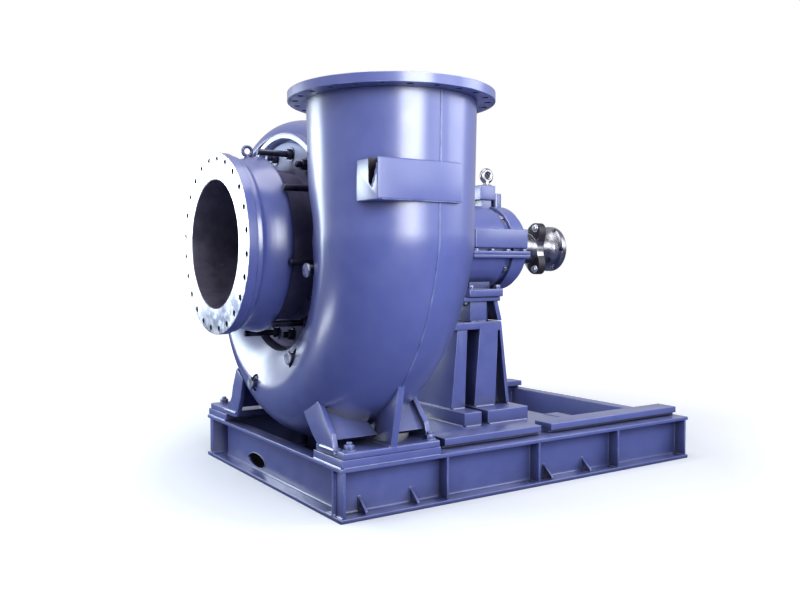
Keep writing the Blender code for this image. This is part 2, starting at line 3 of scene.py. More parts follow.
import bmesh
import bpy
import numpy as np
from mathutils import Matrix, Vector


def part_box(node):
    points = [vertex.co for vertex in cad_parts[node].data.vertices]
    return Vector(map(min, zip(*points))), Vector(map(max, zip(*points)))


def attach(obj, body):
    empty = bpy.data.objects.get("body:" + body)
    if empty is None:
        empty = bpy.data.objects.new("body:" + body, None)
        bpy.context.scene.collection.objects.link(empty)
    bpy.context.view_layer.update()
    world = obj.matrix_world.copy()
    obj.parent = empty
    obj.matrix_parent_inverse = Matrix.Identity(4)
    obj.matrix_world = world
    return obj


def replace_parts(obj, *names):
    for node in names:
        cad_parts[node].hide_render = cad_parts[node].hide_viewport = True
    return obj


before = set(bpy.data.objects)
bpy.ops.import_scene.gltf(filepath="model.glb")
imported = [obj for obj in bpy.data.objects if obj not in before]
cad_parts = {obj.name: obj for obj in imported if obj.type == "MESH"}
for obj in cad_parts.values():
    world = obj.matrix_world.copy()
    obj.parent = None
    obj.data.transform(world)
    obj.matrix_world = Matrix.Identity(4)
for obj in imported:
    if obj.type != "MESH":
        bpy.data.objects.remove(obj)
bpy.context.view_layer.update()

print("frame loaded:", len(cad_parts), "nodes")

# What every piece is set out from, in metres
line = {
    "height": 1.400,          # shaft above the underside of the base
    "face": -1.605,           # suction flange face, x
    "volute": -1.005,         # middle plane of the casing, x
    "nozzleY": -0.917,        # centre of the discharge nozzle
    "padTop": 0.3173,
    "gap": 0.0003,            # between pieces that stand on each other
    "sharp": 34.0,            # edges above this many degrees stay sharp
}
faceX, voluteX, shaftZ, gap = line["face"], line["volute"], line["height"], line["gap"]


# Surfaces


# Corner numbers of the quads of a rows x cols grid: (i, j), (i, j+1), (i+1, j+1), (i+1, j).
def gridQuads(rows, cols, wrapRows=False, wrapCols=False):
    i = np.arange(rows if wrapRows else rows - 1)
    j = np.arange(cols if wrapCols else cols - 1)
    i, j = (a.ravel() for a in np.meshgrid(i, j, indexing="ij"))
    down, across = (i + 1) % rows, (j + 1) % cols
    return np.stack([i * cols + j, i * cols + across, down * cols + across, down * cols + j], axis=1)


# A grid of points (rows, cols, 3) with its quads; capped closes the first and last row with one face each.
def patch(points, wrapRows=False, wrapCols=True, capped=False):
    rows, cols = points.shape[:2]
    caps = [np.arange(cols), np.arange(cols) + (rows - 1) * cols] if capped else []
    return points.reshape(-1, 3), gridQuads(rows, cols, wrapRows, wrapCols), caps


# Smooth faces, with the folds between them kept sharp.
def shade(mesh):
    mesh.shade_smooth()
    mesh.set_sharp_from_angle(angle=math.radians(line["sharp"]))


# Joins patches into one closed mesh: doubles merged, then normals turned outwards.
def makePiece(name, patches, finish="plateEnamel", body="frame"):
    patches = patches if isinstance(patches, list) else [patches]
    starts = np.cumsum([0] + [len(p[0]) for p in patches])
    points = np.concatenate([p[0] for p in patches])
    quads = np.concatenate([p[1] + s for p, s in zip(patches, starts)])
    caps = [cap + s for p, s in zip(patches, starts) for cap in p[2]]
    sizes = np.array([4] * len(quads) + [len(cap) for cap in caps], dtype=np.int32)
    corners = np.concatenate([quads.ravel()] + caps).astype(np.int32)
    mesh = bpy.data.meshes.new(name)
    mesh.vertices.add(len(points))
    mesh.vertices.foreach_set("co", points.ravel().astype(np.float32))
    mesh.loops.add(len(corners))
    mesh.loops.foreach_set("vertex_index", corners)
    mesh.polygons.add(len(sizes))
    mesh.polygons.foreach_set("loop_start", (np.cumsum(sizes) - sizes).astype(np.int32))
    mesh.update(calc_edges=True)
    work = bmesh.new()
    work.from_mesh(mesh)
    bmesh.ops.remove_doubles(work, verts=work.verts, dist=1e-5)
    bmesh.ops.dissolve_degenerate(work, edges=work.edges, dist=1e-6)
    bmesh.ops.recalc_face_normals(work, faces=work.faces)
    work.to_mesh(mesh)
    work.free()
    shade(mesh)
    made = bpy.data.objects.new(name, mesh)
    bpy.context.scene.collection.objects.link(made)
    if finish:
        mesh.materials.append(finishes[finish])
    if body:
        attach(made, body)
    return made


# Second finish for the faces that a test picks by x, y, z, distance from the shaft, and the normal's x.
def paintFaces(made, finish, test):
    mesh = made.data
    count = len(mesh.polygons)
    middle, normal = np.empty(count * 3, dtype=np.float32), np.empty(count * 3, dtype=np.float32)
    index = np.empty(count, dtype=np.int32)
    mesh.polygons.foreach_get("center", middle)
    mesh.polygons.foreach_get("normal", normal)
    mesh.polygons.foreach_get("material_index", index)
    x, y, z = middle.reshape(-1, 3).T
    index[test(x, y, z, np.hypot(y, z - shaftZ), normal[::3])] = len(mesh.materials)
    mesh.materials.append(finishes[finish])
    mesh.polygons.foreach_set("material_index", index)
    mesh.update()


# Applies one exact boolean between the target's own mesh and a form, which then goes.
def carve(target, form, operation="DIFFERENCE"):
    tool = makePiece("tool", form, None, None)
    step = target.modifiers.new(operation.title(), "BOOLEAN")
    step.operation = operation
    step.solver = "EXACT"
    step.object = tool
    graph = bpy.context.evaluated_depsgraph_get()
    made = bpy.data.meshes.new_from_object(target.evaluated_get(graph))
    target.modifiers.clear()
    old = target.data
    target.data = made
    made.name = target.name
    bpy.data.meshes.remove(old)
    bpy.data.objects.remove(tool)
    shade(made)


# Corner P between A and B, a distance d along its edges, becomes (1-t)^2 A + 2t(1-t) P + t^2 B.
def roundCorners(corners, radius, steps=4):
    p = np.asarray(corners, dtype=float)
    before, after = np.roll(p, 1, axis=0) - p, np.roll(p, -1, axis=0) - p
    back, ahead = np.linalg.norm(before, axis=1), np.linalg.norm(after, axis=1)
    d = np.minimum(np.broadcast_to(radius, len(p)), 0.45 * np.minimum(back, ahead))[:, None]
    a, b = p + before / back[:, None] * d, p + after / ahead[:, None] * d
    t = np.linspace(0, 1, steps + 1)[None, :, None]
    curve = (1 - t) ** 2 * a[:, None] + 2 * t * (1 - t) * p[:, None] + t ** 2 * b[:, None]
    curve = curve.reshape(-1, 2)
    keep = np.linalg.norm(curve - np.roll(curve, 1, axis=0), axis=1) > 1e-6
    return curve[keep]


# Mitre of each corner: the step that moves both of its edges in by one.
def inwards(outline):
    after = np.roll(outline, -1, axis=0) - outline
    after /= np.linalg.norm(after, axis=1)[:, None]
    before = np.roll(after, 1, axis=0)
    area = np.sum(outline[:, 0] * np.roll(outline[:, 1], -1) - outline[:, 1] * np.roll(outline[:, 0], -1))
    normal = lambda e: np.stack([-e[:, 1], e[:, 0]], axis=1) * np.sign(area)
    both = normal(before) + normal(after)
    return both / np.maximum(np.sum(both * both, axis=1) / 2, 0.6)[:, None]


# Outline run between two stations, its ends rounded: station = start + e(1-cos a), inset = e(1-sin a).
def plate(outline, axis, start, end, edge=0.003, corner=0.004, steps=3):
    start, end = sorted((start, end))
    edge = min(edge, (end - start) * 0.45)
    outline = roundCorners(outline, np.maximum(corner, 1.8 * edge))
    a = np.linspace(0, math.pi / 2, steps + 1)
    inset, rise = edge * (1 - np.sin(a)), edge * (1 - np.cos(a))
    inset = np.concatenate([inset, inset[::-1]])
    station = np.concatenate([start + rise, (end - rise)[::-1]])
    rings = outline[None] + inwards(outline)[None] * inset[:, None, None]
    s = np.broadcast_to(station[:, None], rings.shape[:2])
    first, second = rings[..., 0], rings[..., 1]
    order = {"x": (s, first, second), "y": (first, s, second), "z": (first, second, s)}[axis]
    return patch(np.stack(order, axis=-1), capped=True)


# A rounded block between two corners, given in either order.
def block(low, high, edge=0.004):
    (x0, x1), (y0, y1), (z0, z1) = (sorted(pair) for pair in zip(low, high))
    outline = [(y0, z0), (y1, z0), (y1, z1), (y0, z1)]
    if not edge:
        return patch(np.array([[(x, y, z) for y, z in outline] for x in (x0, x1)]), capped=True)
    return plate(outline, "x", x0, x1, edge)


# The patch and the same patch on the other side of the shaft.
def both(p):
    return [p, (p[0] * np.array([1.0, -1.0, 1.0]), p[1], p[2])]


# Forms set out from the flange face, moved to their place in the scene.
def fromFace(forms):
    return [(p[0] + [faceX, 0.0, 0.0], p[1], p[2]) for p in forms]


# Points on a circle round the shaft, degrees from the top: side = r sin a, up = r cos a.
def onCircle(x, radius, degrees):
    a = np.radians(degrees)
    return np.stack([np.full(a.shape, x), radius * np.sin(a), shaftZ + radius * np.cos(a)], axis=-1)


# Even angles in degrees, the first half a step from the top: 360 (k + 0.5) / count.
def everyTurn(count):
    return 360.0 * (np.arange(count) + 0.5) / count


# Closed (station, radius) outline spun round an axis: side = r sin a, up = r cos a. Arms stand out of a rim wider
# than least: r - depth (1 - ((1 + cos n (a - first)) / 2)^1.6).
def turned(profile, centre=(0.0, shaftZ), axis="x", steps=128, corner=0.004, start=0.0, arms=None):
    outline = np.asarray(profile, dtype=float) + [start, 0.0]
    outline = roundCorners(outline, corner) if corner else outline
    a = 2 * math.pi * np.arange(steps) / steps
    station = np.broadcast_to(outline[:, 0], (steps, len(outline)))
    radius = np.broadcast_to(outline[:, 1], (steps, len(outline)))
    if arms:
        count, depth, least, first = arms
        arm = ((1 + np.cos(count * (a - math.radians(first))[:, None])) / 2) ** 1.6
        radius = radius - depth * (1 - arm) * (radius > least)
    return patch(spun(radius, a[:, None], station, centre, axis), wrapRows=True)


# Cylinder coordinates to points, for an axis along x, y or z.
def spun(radius, turn, station, centre, axis):
    side, up = centre[0] + radius * np.sin(turn), centre[1] + radius * np.cos(turn)
    order = {"x": (station, side, up), "y": (side, station, up), "z": (side, up, station)}[axis]
    return np.stack(order, axis=-1)


# Bolts, nuts and pins: at each row (station, round, flats) radius = min(round, flats / cos(a mod 60 - 30)).
def fasteners(places, axis, rows, sides=36):
    places = np.asarray(places, dtype=float).reshape(-1, 3)
    axis = np.broadcast_to(np.asarray(axis, dtype=float), places.shape)
    axis = axis / np.linalg.norm(axis, axis=1)[:, None]
    helper = np.where(np.abs(axis[:, 2:3]) > 0.9, [[1.0, 0.0, 0.0]], [[0.0, 0.0, 1.0]])
    first = np.cross(helper, axis)
    first /= np.linalg.norm(first, axis=1)[:, None]
    second = np.cross(axis, first)
    a = 2 * math.pi * np.arange(sides) / sides
    station, most, flats = np.asarray(rows, dtype=float).T
    across = flats[:, None] / np.cos(a % (math.pi / 3) - math.pi / 6)
    radius = np.minimum(most[:, None], across)
    points = places[:, None, None] + axis[:, None, None] * station[None, :, None, None]
    points = points + first[:, None, None] * (radius * np.cos(a))[None, :, :, None]
    points = points + second[:, None, None] * (radius * np.sin(a))[None, :, :, None]
    quads = gridQuads(len(rows), sides, wrapCols=True)
    step = np.arange(len(places))[:, None, None] * len(rows) * sides
    return points.reshape(-1, 3), (quads[None] + step).reshape(-1, 4), []


# Rows for a hexagon head or nut on a washer: flats 0.80 and washer 1.15 of the size, tops chamfered.
def hexBolt(size, head=0.65, stud=0.0):
    flats, low, big = 0.80 * size, 0.16 * size, 9.0
    high = low + head * size
    rows = [(-0.004, 0.0, big), (-0.004, 1.15 * size, big), (low - 0.0012, 1.15 * size, big), (low, 1.11 * size, big),
            (low, 0.97 * flats, flats), (low + 0.0015, 1.12 * flats, flats), (high - 0.12 * size, 1.12 * flats, flats),
            (high, 0.96 * flats, flats)]
    if stud:
        return rows + [(high, 0.5 * size, big), (high + stud - 0.003, 0.5 * size, big),
                       (high + stud, 0.42 * size, big), (high + stud, 0.0, big)]
    return rows + [(high + 0.04 * size, 0.60 * flats, big), (high + 0.05 * size, 0.0, big)]


# Tube along a path: point = path + r (cos a * across + sin a * over), across = tangent x up.
def sweep(path, radius, sides=10, closed=False):
    path = np.asarray(path, dtype=float)
    if closed:
        tangent = np.roll(path, -1, axis=0) - np.roll(path, 1, axis=0)
    else:
        tangent = np.gradient(path, axis=0)
    tangent /= np.linalg.norm(tangent, axis=1)[:, None]
    up = np.where(np.abs(tangent[:, 2:3]) > 0.95, [[0.0, 1.0, 0.0]], [[0.0, 0.0, 1.0]])
    across = np.cross(tangent, up)
    across /= np.linalg.norm(across, axis=1)[:, None]
    over = np.cross(across, tangent)
    radius = np.broadcast_to(radius, len(path))[:, None, None]
    a = 2 * math.pi * np.arange(sides) / sides
    ring = across[:, None] * np.cos(a)[None, :, None] + over[:, None] * np.sin(a)[None, :, None]
    return patch(path[:, None] + ring * radius, wrapRows=closed, capped=not closed)


# Fillet weld drawn as a rippled tube: radius = size (1 + 0.10 cos(2 pi s / pitch)), s along the seam.
def weld(start, end, size=0.007, pitch=0.016):
    start, end = np.asarray(start, dtype=float), np.asarray(end, dtype=float)
    length = np.linalg.norm(end - start)
    count = max(int(length / pitch * 2.5), 4)
    s = np.linspace(0, 1, count)
    radius = size * (1 + 0.10 * np.cos(2 * math.pi * s * length / pitch))
    return sweep(start + (end - start) * s[:, None], radius, sides=6)


# Finishes


# sRGB hex to linear: c / 12.92 below 0.04045, otherwise ((c + 0.055) / 1.055) ^ 2.4.
def linear(code):
    parts = [int(code[i:i + 2], 16) / 255 for i in (1, 3, 5)]
    return tuple(c / 12.92 if c <= 0.04045 else ((c + 0.055) / 1.055) ** 2.4 for c in parts) + (1.0,)


# Adds one shader node, sets its properties, fills or links its inputs, and gives back the wanted output.
def addNode(tree, kind, inputs=None, out=0, **settings):
    made = tree.nodes.new("ShaderNode" + kind)
    for key, value in settings.items():
        setattr(made, key, value)
    for key, value in (inputs or {}).items():
        if isinstance(value, bpy.types.NodeSocket):
            tree.links.new(value, made.inputs[key])
        else:
            made.inputs[key].default_value = value
    return made.outputs[out]


# A material with its Principled shader set, and its object coordinates ready.
def newFinish(name, roughness, metallic=0.0, coat=0.0, coatRoughness=0.1):
    made = bpy.data.materials.new(name)
    made.use_nodes = True
    tree = made.node_tree
    shader = tree.nodes["Principled BSDF"]
    for key, value in (("Roughness", roughness), ("Metallic", metallic), ("Coat Weight", coat),
                       ("Coat Roughness", coatRoughness), ("Coat IOR", 1.62)):
        shader.inputs[key].default_value = value
    if not metallic:
        shader.inputs["IOR"].default_value = 1.5
    return made, tree, shader, addNode(tree, "TexCoord", out="Object")


# Cloudy pattern: noise with its middle range stretched to 0..1; scale is patterns per metre.
def cloudy(tree, where, scale, detail=3.0, low=0.35, high=0.65, stretch=None):
    if stretch:
        where = addNode(tree, "Mapping", {"Vector": where, "Scale": stretch})
    noise = addNode(tree, "TexNoise", {"Vector": where, "Scale": scale, "Detail": detail, "Roughness": 0.55})
    return addNode(tree, "MapRange", {"Value": noise, "From Min": low, "From Max": high})


# Lays tones over a base colour, each by its share times an amount; a pattern runs the roughness from low to high.
def coloured(tree, shader, base, layers, pattern, low, high):
    colour = linear(base)
    for share, amount, tone in layers:
        if amount < 1:
            share = addNode(tree, "Math", {0: share, 1: amount}, operation="MULTIPLY")
        colour = addNode(tree, "Mix", {0: share, 6: colour, 7: linear(tone)}, 2, data_type="RGBA")
    tree.links.new(colour, shader.inputs["Base Color"])
    rough = addNode(tree, "MapRange", {"Value": pattern, "To Min": low, "To Max": high})
    tree.links.new(rough, shader.inputs["Roughness"])


# Chains bump nodes: each height comes with its strength and its depth in metres.
def bumped(tree, shader, heights, normal=None):
    for height, strength, depth in heights:
        inputs = {"Height": height, "Strength": strength, "Distance": depth}
        if normal is not None:
            inputs["Normal"] = normal
        normal = addNode(tree, "Bump", inputs)
    tree.links.new(normal, shader.inputs["Normal"])


enamel = {
    "colour": "#565F9D",
    "deep": "#4B538F",
    "pale": "#6871AB",
    "paintedShade": "#0D0F2E",       # painted shade in corners, under and between parts
    "worn": "#B6BEE4",        # thin paint along edges, lightened further as a painted highlight
    "dust": "#8A90B4",
    "roughness": 0.40,
    "coat": 0.90,
    "coatRoughness": 0.24,
    # material, depth of the metal's waves, width of the worn edges with their painted highlight in metres, strength of
    # the orange peel
    "castEnamel": ("enamelSprayedOnCastIron", 0.005, 0.008, 0.22),
    "smallCastEnamel": ("enamelSprayedOnSmallCastings", 0.002, 0.006, 0.22),
    "plateEnamel": ("enamelSprayedOnWeldedPlate", 0.0015, 0.004, 0.10),
    "drumEnamel": ("enamelSprayedOnTurnedDrum", 0.002, 0.005, 0.14),
}


# Gloss machine enamel, sprayed: soft clear highlights that follow the waves of the metal under it.
# Corners, undersides and gaps between parts within 240 mm are painted dark as shade, edges of about 5 mm show thinner
# paint lightened further as a painted highlight, and level faces hold some dust.
def machineEnamel(name, wave, edge, peelStrength):
    e, rough = enamel, enamel["roughness"]
    made, tree, shader, where = newFinish(name, rough, coat=e["coat"], coatRoughness=e["coatRoughness"])
    drift = cloudy(tree, where, 1.3, 2.0, 0.25, 0.75)                      # 770 mm, slow change of tone
    mottle = cloudy(tree, where, 11.0, 4.0)                                # 90 mm, patches of thicker paint
    runs = cloudy(tree, where, 9.0, 3.0, 0.50, 0.80, (1.0, 1.0, 0.12))     # 110 mm wide, eight times as tall
    facing = addNode(tree, "NewGeometry", out="Normal")
    up = addNode(tree, "SeparateXYZ", {0: facing}, 2)
    level = addNode(tree, "MapRange", {"Value": up, "From Min": 0.80, "From Max": 1.0, "To Max": 0.30})
    dusty = addNode(tree, "Math", {0: level, 1: mottle}, operation="MULTIPLY")
    # Pale band on edges of about 5 mm: partly thinner paint, partly a painted highlight where light catches the edge
    soft = addNode(tree, "Bevel", {"Radius": edge}, samples=4)
    bend = addNode(tree, "VectorMath", {0: soft, 1: facing}, "Value", operation="DOT_PRODUCT")
    wornEdgeHighlight = addNode(tree, "MapRange", {"Value": bend, "From Min": 0.995, "From Max": 0.90, "To Max": 0.85})
    wornEdgeHighlight = addNode(tree, "Math", {0: wornEdgeHighlight, 1: mottle}, operation="MULTIPLY")
    # Painted shade: ambient occlusion within 240 mm darkens corners, undersides and gaps between parts towards dark
    # navy
    occludedShade = addNode(tree, "AmbientOcclusion", {"Distance": 0.24}, "AO", samples=8)
    occludedShade = addNode(tree, "MapRange", {"Value": occludedShade, "From Min": 0.76, "From Max": 0.26, "To Max": 0.94})
    layers = [(drift, 1.0, e["colour"]), (mottle, 0.16, e["pale"]), (runs, 0.14, e["deep"]), (dusty, 1.0, e["dust"]),
              (wornEdgeHighlight, 1.0, e["worn"]), (occludedShade, 1.0, e["paintedShade"])]
    coloured(tree, shader, e["deep"], layers, mottle, rough - 0.05, rough + 0.09)
    peel = addNode(tree, "TexNoise", {"Vector": where, "Scale": 170.0, "Detail": 2.0})     # 6 mm, orange peel
    sway = addNode(tree, "TexNoise", {"Vector": where, "Scale": 6.0, "Detail": 2.0})       # 160 mm, metal waves
    bumped(tree, shader, [(sway, 0.30, wave), (peel, peelStrength, 0.0006)], soft)
    return made


# Steel faced or ground on a lathe: rings round the shaft, sin(2 pi 250 r), drawn at 4 mm as real ones are finer.
# They throw long clear glints, and grey-blue streaks darken the face towards its bottom and its -y side.
def turnedSteel(name, colour, pale, roughness):
    made, tree, shader, where = newFinish(name, roughness, metallic=1.0)
    flat = addNode(tree, "VectorMath", {0: where, 1: (0, 0, shaftZ)}, operation="SUBTRACT")
    flat = addNode(tree, "VectorMath", {0: flat, 1: (0, 1, 1)}, operation="MULTIPLY")
    away = addNode(tree, "VectorMath", {0: flat}, "Value", operation="LENGTH")
    groove = addNode(tree, "Math", {0: away, 1: 2 * math.pi * 250.0}, operation="MULTIPLY")
    groove = addNode(tree, "Math", {0: groove}, operation="SINE")
    cloud = cloudy(tree, where, 5.0, 4.0)                                  # 200 mm, where hands and oil have been
    height = addNode(tree, "VectorMath", {0: where, 1: (0.0, 0.40, 1.0)}, "Value", operation="DOT_PRODUCT")
    low = addNode(tree, "MapRange", {"Value": height, "From Min": shaftZ - 0.17, "From Max": shaftZ - 0.44})
    streak = cloudy(tree, where, 24.0, 3.0, 0.40, 0.58)                    # 40 mm, edges of the grey-blue streaks
    lowStreaks = addNode(tree, "Math", {0: low, 1: streak}, operation="MULTIPLY")
    coloured(tree, shader, colour, [(cloud, 1.0, pale), (lowStreaks, 0.75, "#59617F")], cloud, roughness - 0.06,
             roughness + 0.06)
    bumped(tree, shader, [(groove, 0.10, 0.0004), (cloud, 0.05, 0.001)])
    return made


# Metal as rolled, cast or plated: cloudy tone, painted shade darkening corners within 30 mm, and a grain of about 10 mm
# drawn coarse enough to show. With a lit-top colour the finish stands for shade, its top painted pale as a reflection
# of light: share = (height over the shaft - 0.43) / 0.09.
def plainMetal(name, colour, worn, roughness, metallic, grain, depth=0.25, paintedLitTop=None):
    made, tree, shader, where = newFinish(name, roughness, metallic=metallic)
    # Painted shade: ambient occlusion within 30 mm darkens corners and gaps towards near black
    occludedShade = addNode(tree, "AmbientOcclusion", {"Distance": 0.03}, "AO", samples=4)
    cornerShade = addNode(tree, "MapRange", {"Value": occludedShade, "From Min": 0.7, "From Max": 0.2, "To Max": 0.7})
    cloud = cloudy(tree, where, 9.0, 4.0)                                  # 110 mm, handling and storage marks
    layers = [(cloud, 1.0, worn), (cornerShade, 1.0, "#0C0B0E")]
    # Painted light: these faces stand for shade with little sheen, and their top is painted pale as a reflection
    if paintedLitTop:
        shader.inputs["Specular IOR Level"].default_value = 0.12
        height = addNode(tree, "SeparateXYZ", {0: where}, 2)
        litTopShare = addNode(tree, "MapRange", {"Value": height, "From Min": shaftZ + 0.43, "From Max": shaftZ + 0.52})
        layers.append((litTopShare, 1.0, paintedLitTop))
    speck = addNode(tree, "TexNoise", {"Vector": where, "Scale": grain, "Detail": 4.0})
    coloured(tree, shader, colour, layers, speck, roughness - 0.08, roughness + 0.14)
    bumped(tree, shader, [(speck, depth, 0.001)])
    return made


metals = {
    # slot, material, colour, worn colour, roughness, metallic, grains per metre, their strength, painted lit top colour
    "gunSteel": ("dark_steel", "steelTurnedAndOiled", "#918F95", "#B2B0B5", 0.27, 1.0, 90.0, 0.07),   # soft glints
    "boltSteel": ("machined_steel", "steelZincPlated", "#9DA1B2", "#C9CCDA", 0.36, 1.0, 120.0),       # cool and even
    "paleSteel": ("machined_steel", "steelTurnedBright", "#D6D8E2", "#F0F0F4", 0.40, 1.0, 120.0),     # near white
    "darkBolt": ("dark_steel", "steelOiledBolts", "#33343F", "#5A5C6C", 0.38, 1.0, 120.0),            # dark, wet glints
    "liningGrey": ("dark_steel", "epoxyLiningBrushed", "#494354", "#5F5969", 0.20, 0.0, 30.0, 0.10),  # dark and slick
    "oxideBlackAndShade": ("dark_steel", "steelBlackOxideAndPaintedShade", "#17141B", "#26222B", 0.42, 0.0, 90.0),          # satin black: oxide on the coupling's arms, painted shade in the flange holes, the pad's V and the eye
    "castAlloy": ("cast_alloy", "chromiumIronAsCast", "#241F26", "#3A343C", 0.45, 1.0, 70.0),         # rough, brownish
    # painted shade: dark with little sheen for the shaded recesses, its top painted pale as a reflection of light
    "paintedRecessShade": ("dark_steel", "castIronPaintedShadeLitTop", "#55526A", "#686480", 0.58, 0.0, 90.0, 0.25, "#BFC8E6"),
}
lathed = {
    "facedSteel": ("carbonSteelFacedOnLathe", "#C9CCD6", "#E9EBF2", 0.38),
    "shaftSteel": ("carbonSteelGroundShaft", "#8E9097", "#B4B6BE", 0.26),
}
finishes, slotOf = {}, {}
for key in ("castEnamel", "smallCastEnamel", "plateEnamel", "drumEnamel"):
    finishes[key], slotOf[key] = machineEnamel(*enamel[key]), "blue_enamel"
for key, row in metals.items():
    finishes[key], slotOf[key] = plainMetal(*row[1:]), row[0]
for key, row in lathed.items():
    finishes[key], slotOf[key] = turnedSteel(*row), "machined_steel"
print("finishes made:", len(finishes))


# Volute casing

casing = {
    "spiralStart": -55.0,     # where the spiral's law begins, degrees from the top towards +Y
    "spiralEnd": 270.0,
    "tongue": -44.0,          # where the metal begins
    "startRadius": 0.673,
    "throatRadius": 0.531,
    "mouthRadius": 0.620,
    "nozzleRadius": 0.416,
    "nozzleFlare": 0.021,     # growth of the nozzle's radius per metre of height
    "nozzleTop": 0.6897,      # underside of the flange above the shaft
    "startWidth": 0.1735,
    "wall": 0.045,
    "spiralSteps": 132,
    "arcSteps": 34,
    "riseSteps": 22,
    # (x from the middle plane, radius)
    "drum": [(-0.20, 0.45), (-0.20, 0.655), (-0.06, 0.655), (-0.06, 0.622), (0.207, 0.622), (0.207, 0.45)],
    "chamber": [(-0.096, 0.40), (-0.096, 0.56), (0.155, 0.56), (0.155, 0.40)],
    "mouth": [(-0.5, 0.30), (-0.5, 0.62), (-0.130, 0.62), (-0.130, 0.555), (0.0, 0.555), (0.0, 0.30)],
    "back": [(0.0, 0.30), (0.0, 0.48), (0.2, 0.48), (0.2, 0.60), (0.5, 0.60), (0.5, 0.30)],
}

pins = {
    # degrees from the top, radius, head and pocket floor in front of the middle plane
    "places": [(-102.0, 0.70, 0.372, 0.240), (-147.0, 0.74, 0.345, 0.265), (-187.0, 0.82, 0.352, 0.298),
               (128.0, 0.74, 0.300, 0.250), (82.0, 0.72, 0.280, 0.225), (37.0, 0.68, 0.240, 0.200)],
    "pocket": 0.052, "head": 0.037, "shank": 0.027,
}


# Soft step 3t^2 - 2t^3.
def smooth(t):
    return t * t * (3 - 2 * t)


# Section at angle a: r = middle + deep cos b, x = width sin b, growing as t^1.24 and t^1.356; then up the nozzle.
def scrollRings(inset, innerRadius):
    c = casing
    reach = c["nozzleRadius"] - line["nozzleY"]
    angle = np.linspace(c["tongue"], c["spiralEnd"], c["spiralSteps"] + 1)
    t = np.clip((angle - c["spiralStart"]) / (c["spiralEnd"] - c["spiralStart"]), 0, 1)
    outer = c["startRadius"] + (reach - c["startRadius"]) * t ** 1.24
    deep = (outer - c["throatRadius"]) / 2
    middle = outer - deep
    width = c["startWidth"] + (c["nozzleRadius"] - c["startWidth"]) * t ** 1.356 - inset
    lip = 0.165 + 0.135 * t ** 3
    if inset:
        beyond = smooth(np.clip((middle - c["mouthRadius"] - inset) / 0.08, 0, 1))
        lip = np.full_like(t, 0.100)
        width = 0.100 + (width - 0.100) * beyond
    deep = np.maximum(deep - inset, 0.012)
    edge = c["mouthRadius"] + inset
    edge = np.where(middle > edge + 0.02, edge, (innerRadius + middle) / 2)
    b = np.linspace(-math.pi / 2, math.pi / 2, c["arcSteps"] + 1)
    r = middle[:, None] + deep[:, None] * np.cos(b)
    x = width[:, None] * np.sin(b)
    lead = 8                                    # points of the wall before the arc, which it meets gently
    side = np.linspace(0, 1, lead)[None, :-1]
    rise = edge[:, None] + (r[:, :1] - edge[:, None]) * side
    flare = lip[:, None] + (width[:, None] - lip[:, None]) * (side + 0.10 * np.sin(math.pi * side))
    inner = np.full((len(t), 1), innerRadius)
    radius = np.concatenate([inner, rise, r, rise[:, ::-1], inner], axis=1)
    across = np.concatenate([-lip[:, None], -flare, x, flare[:, ::-1], lip[:, None]], axis=1)
    scroll = spun(radius, np.radians(angle)[:, None], voluteX + across, (0.0, shaftZ), "x")
    top = c["nozzleTop"] + (0.05 if inset else 0.0)
    z = np.linspace(0, top, c["riseSteps"] + 1)[1:, None]
    blend = smooth(np.clip(z / 0.30, 0, 1))
    around = np.concatenate([b[0] - np.arange(lead, 0, -1) * math.pi / (2 * lead + 1), b,
                             b[-1] + np.arange(1, lead + 1) * math.pi / (2 * lead + 1)])
    size = c["nozzleRadius"] + c["nozzleFlare"] * z - inset
    circleR = -line["nozzleY"] + size * np.cos(around)
    circleX = size * np.sin(around)
    endR, endX = radius[-1][None], across[-1][None]
    nozzleR, nozzleX = endR + (circleR - endR) * blend, endX + (circleX - endX) * blend
    nozzle = np.stack([voluteX + nozzleX, -nozzleR, np.broadcast_to(shaftZ + z, nozzleR.shape)], axis=-1)
    return np.concatenate([scroll, nozzle])


# Bead where the moulds met, down the middle of the scroll: point = path + r (1.6 cos a * x + sin a * outwards).
def partingBead(rings):
    path = rings[:, rings.shape[1] // 2]
    along = np.gradient(path, axis=0)
    out = np.cross(along / np.linalg.norm(along, axis=1)[:, None], [1.0, 0.0, 0.0])
    a = 2 * math.pi * np.arange(8)[None, :, None] / 8
    return patch(path[:, None] + 0.0034 * (np.cos(a) * [1.6, 0.0, 0.0] + np.sin(a) * out[:, None]), capped=True)


# Scroll with the suction drum and the cut-water joined on, then hollowed, bored and spot-faced.
def buildCasing():
    v = voluteX
    outside = scrollRings(0.0, 0.50)
    shell = makePiece("casing_shell", patch(outside, capped=True), "castEnamel")
    carve(shell, turned(casing["drum"], corner=0.006, steps=144, start=v), "UNION")
    carve(shell, block((v - 0.150, -0.560, shaftZ + 0.280), (v + 0.150, -0.420, shaftZ + 0.440), 0), "UNION")
    carve(shell, patch(scrollRings(casing["wall"], 0.46), capped=True))
    for bore, steps in (("chamber", 120), ("mouth", 180), ("back", 160)):
        carve(shell, turned(casing[bore], corner=0, steps=steps, start=v))
    for angle, radius, _, floor in pins["places"]:
        pocket = [(-0.5, 0.0), (-0.5, pins["pocket"]), (-floor, pins["pocket"]), (-floor, 0.0)]
        carve(shell, turned(pocket, onCircle(0.0, radius, angle)[1:], corner=0, steps=40, start=v))
    # Painted shade: the mouth's inner wall, and the ring in front below its top, take the dark shade finish
    paintFaces(shell, "paintedRecessShade", lambda x, y, z, r, nx: (r < 0.6205) & (x < v + 0.19)
               | (r < 0.657) & (np.abs(x - v + 0.20) < 0.003) & (z < shaftZ + 0.50))
    makePiece("parting_line", partingBead(outside), "castEnamel")
    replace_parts(shell, "volute_casing")
    return shell


shell = buildCasing()
print("casing made:", len(shell.data.polygons), "faces")

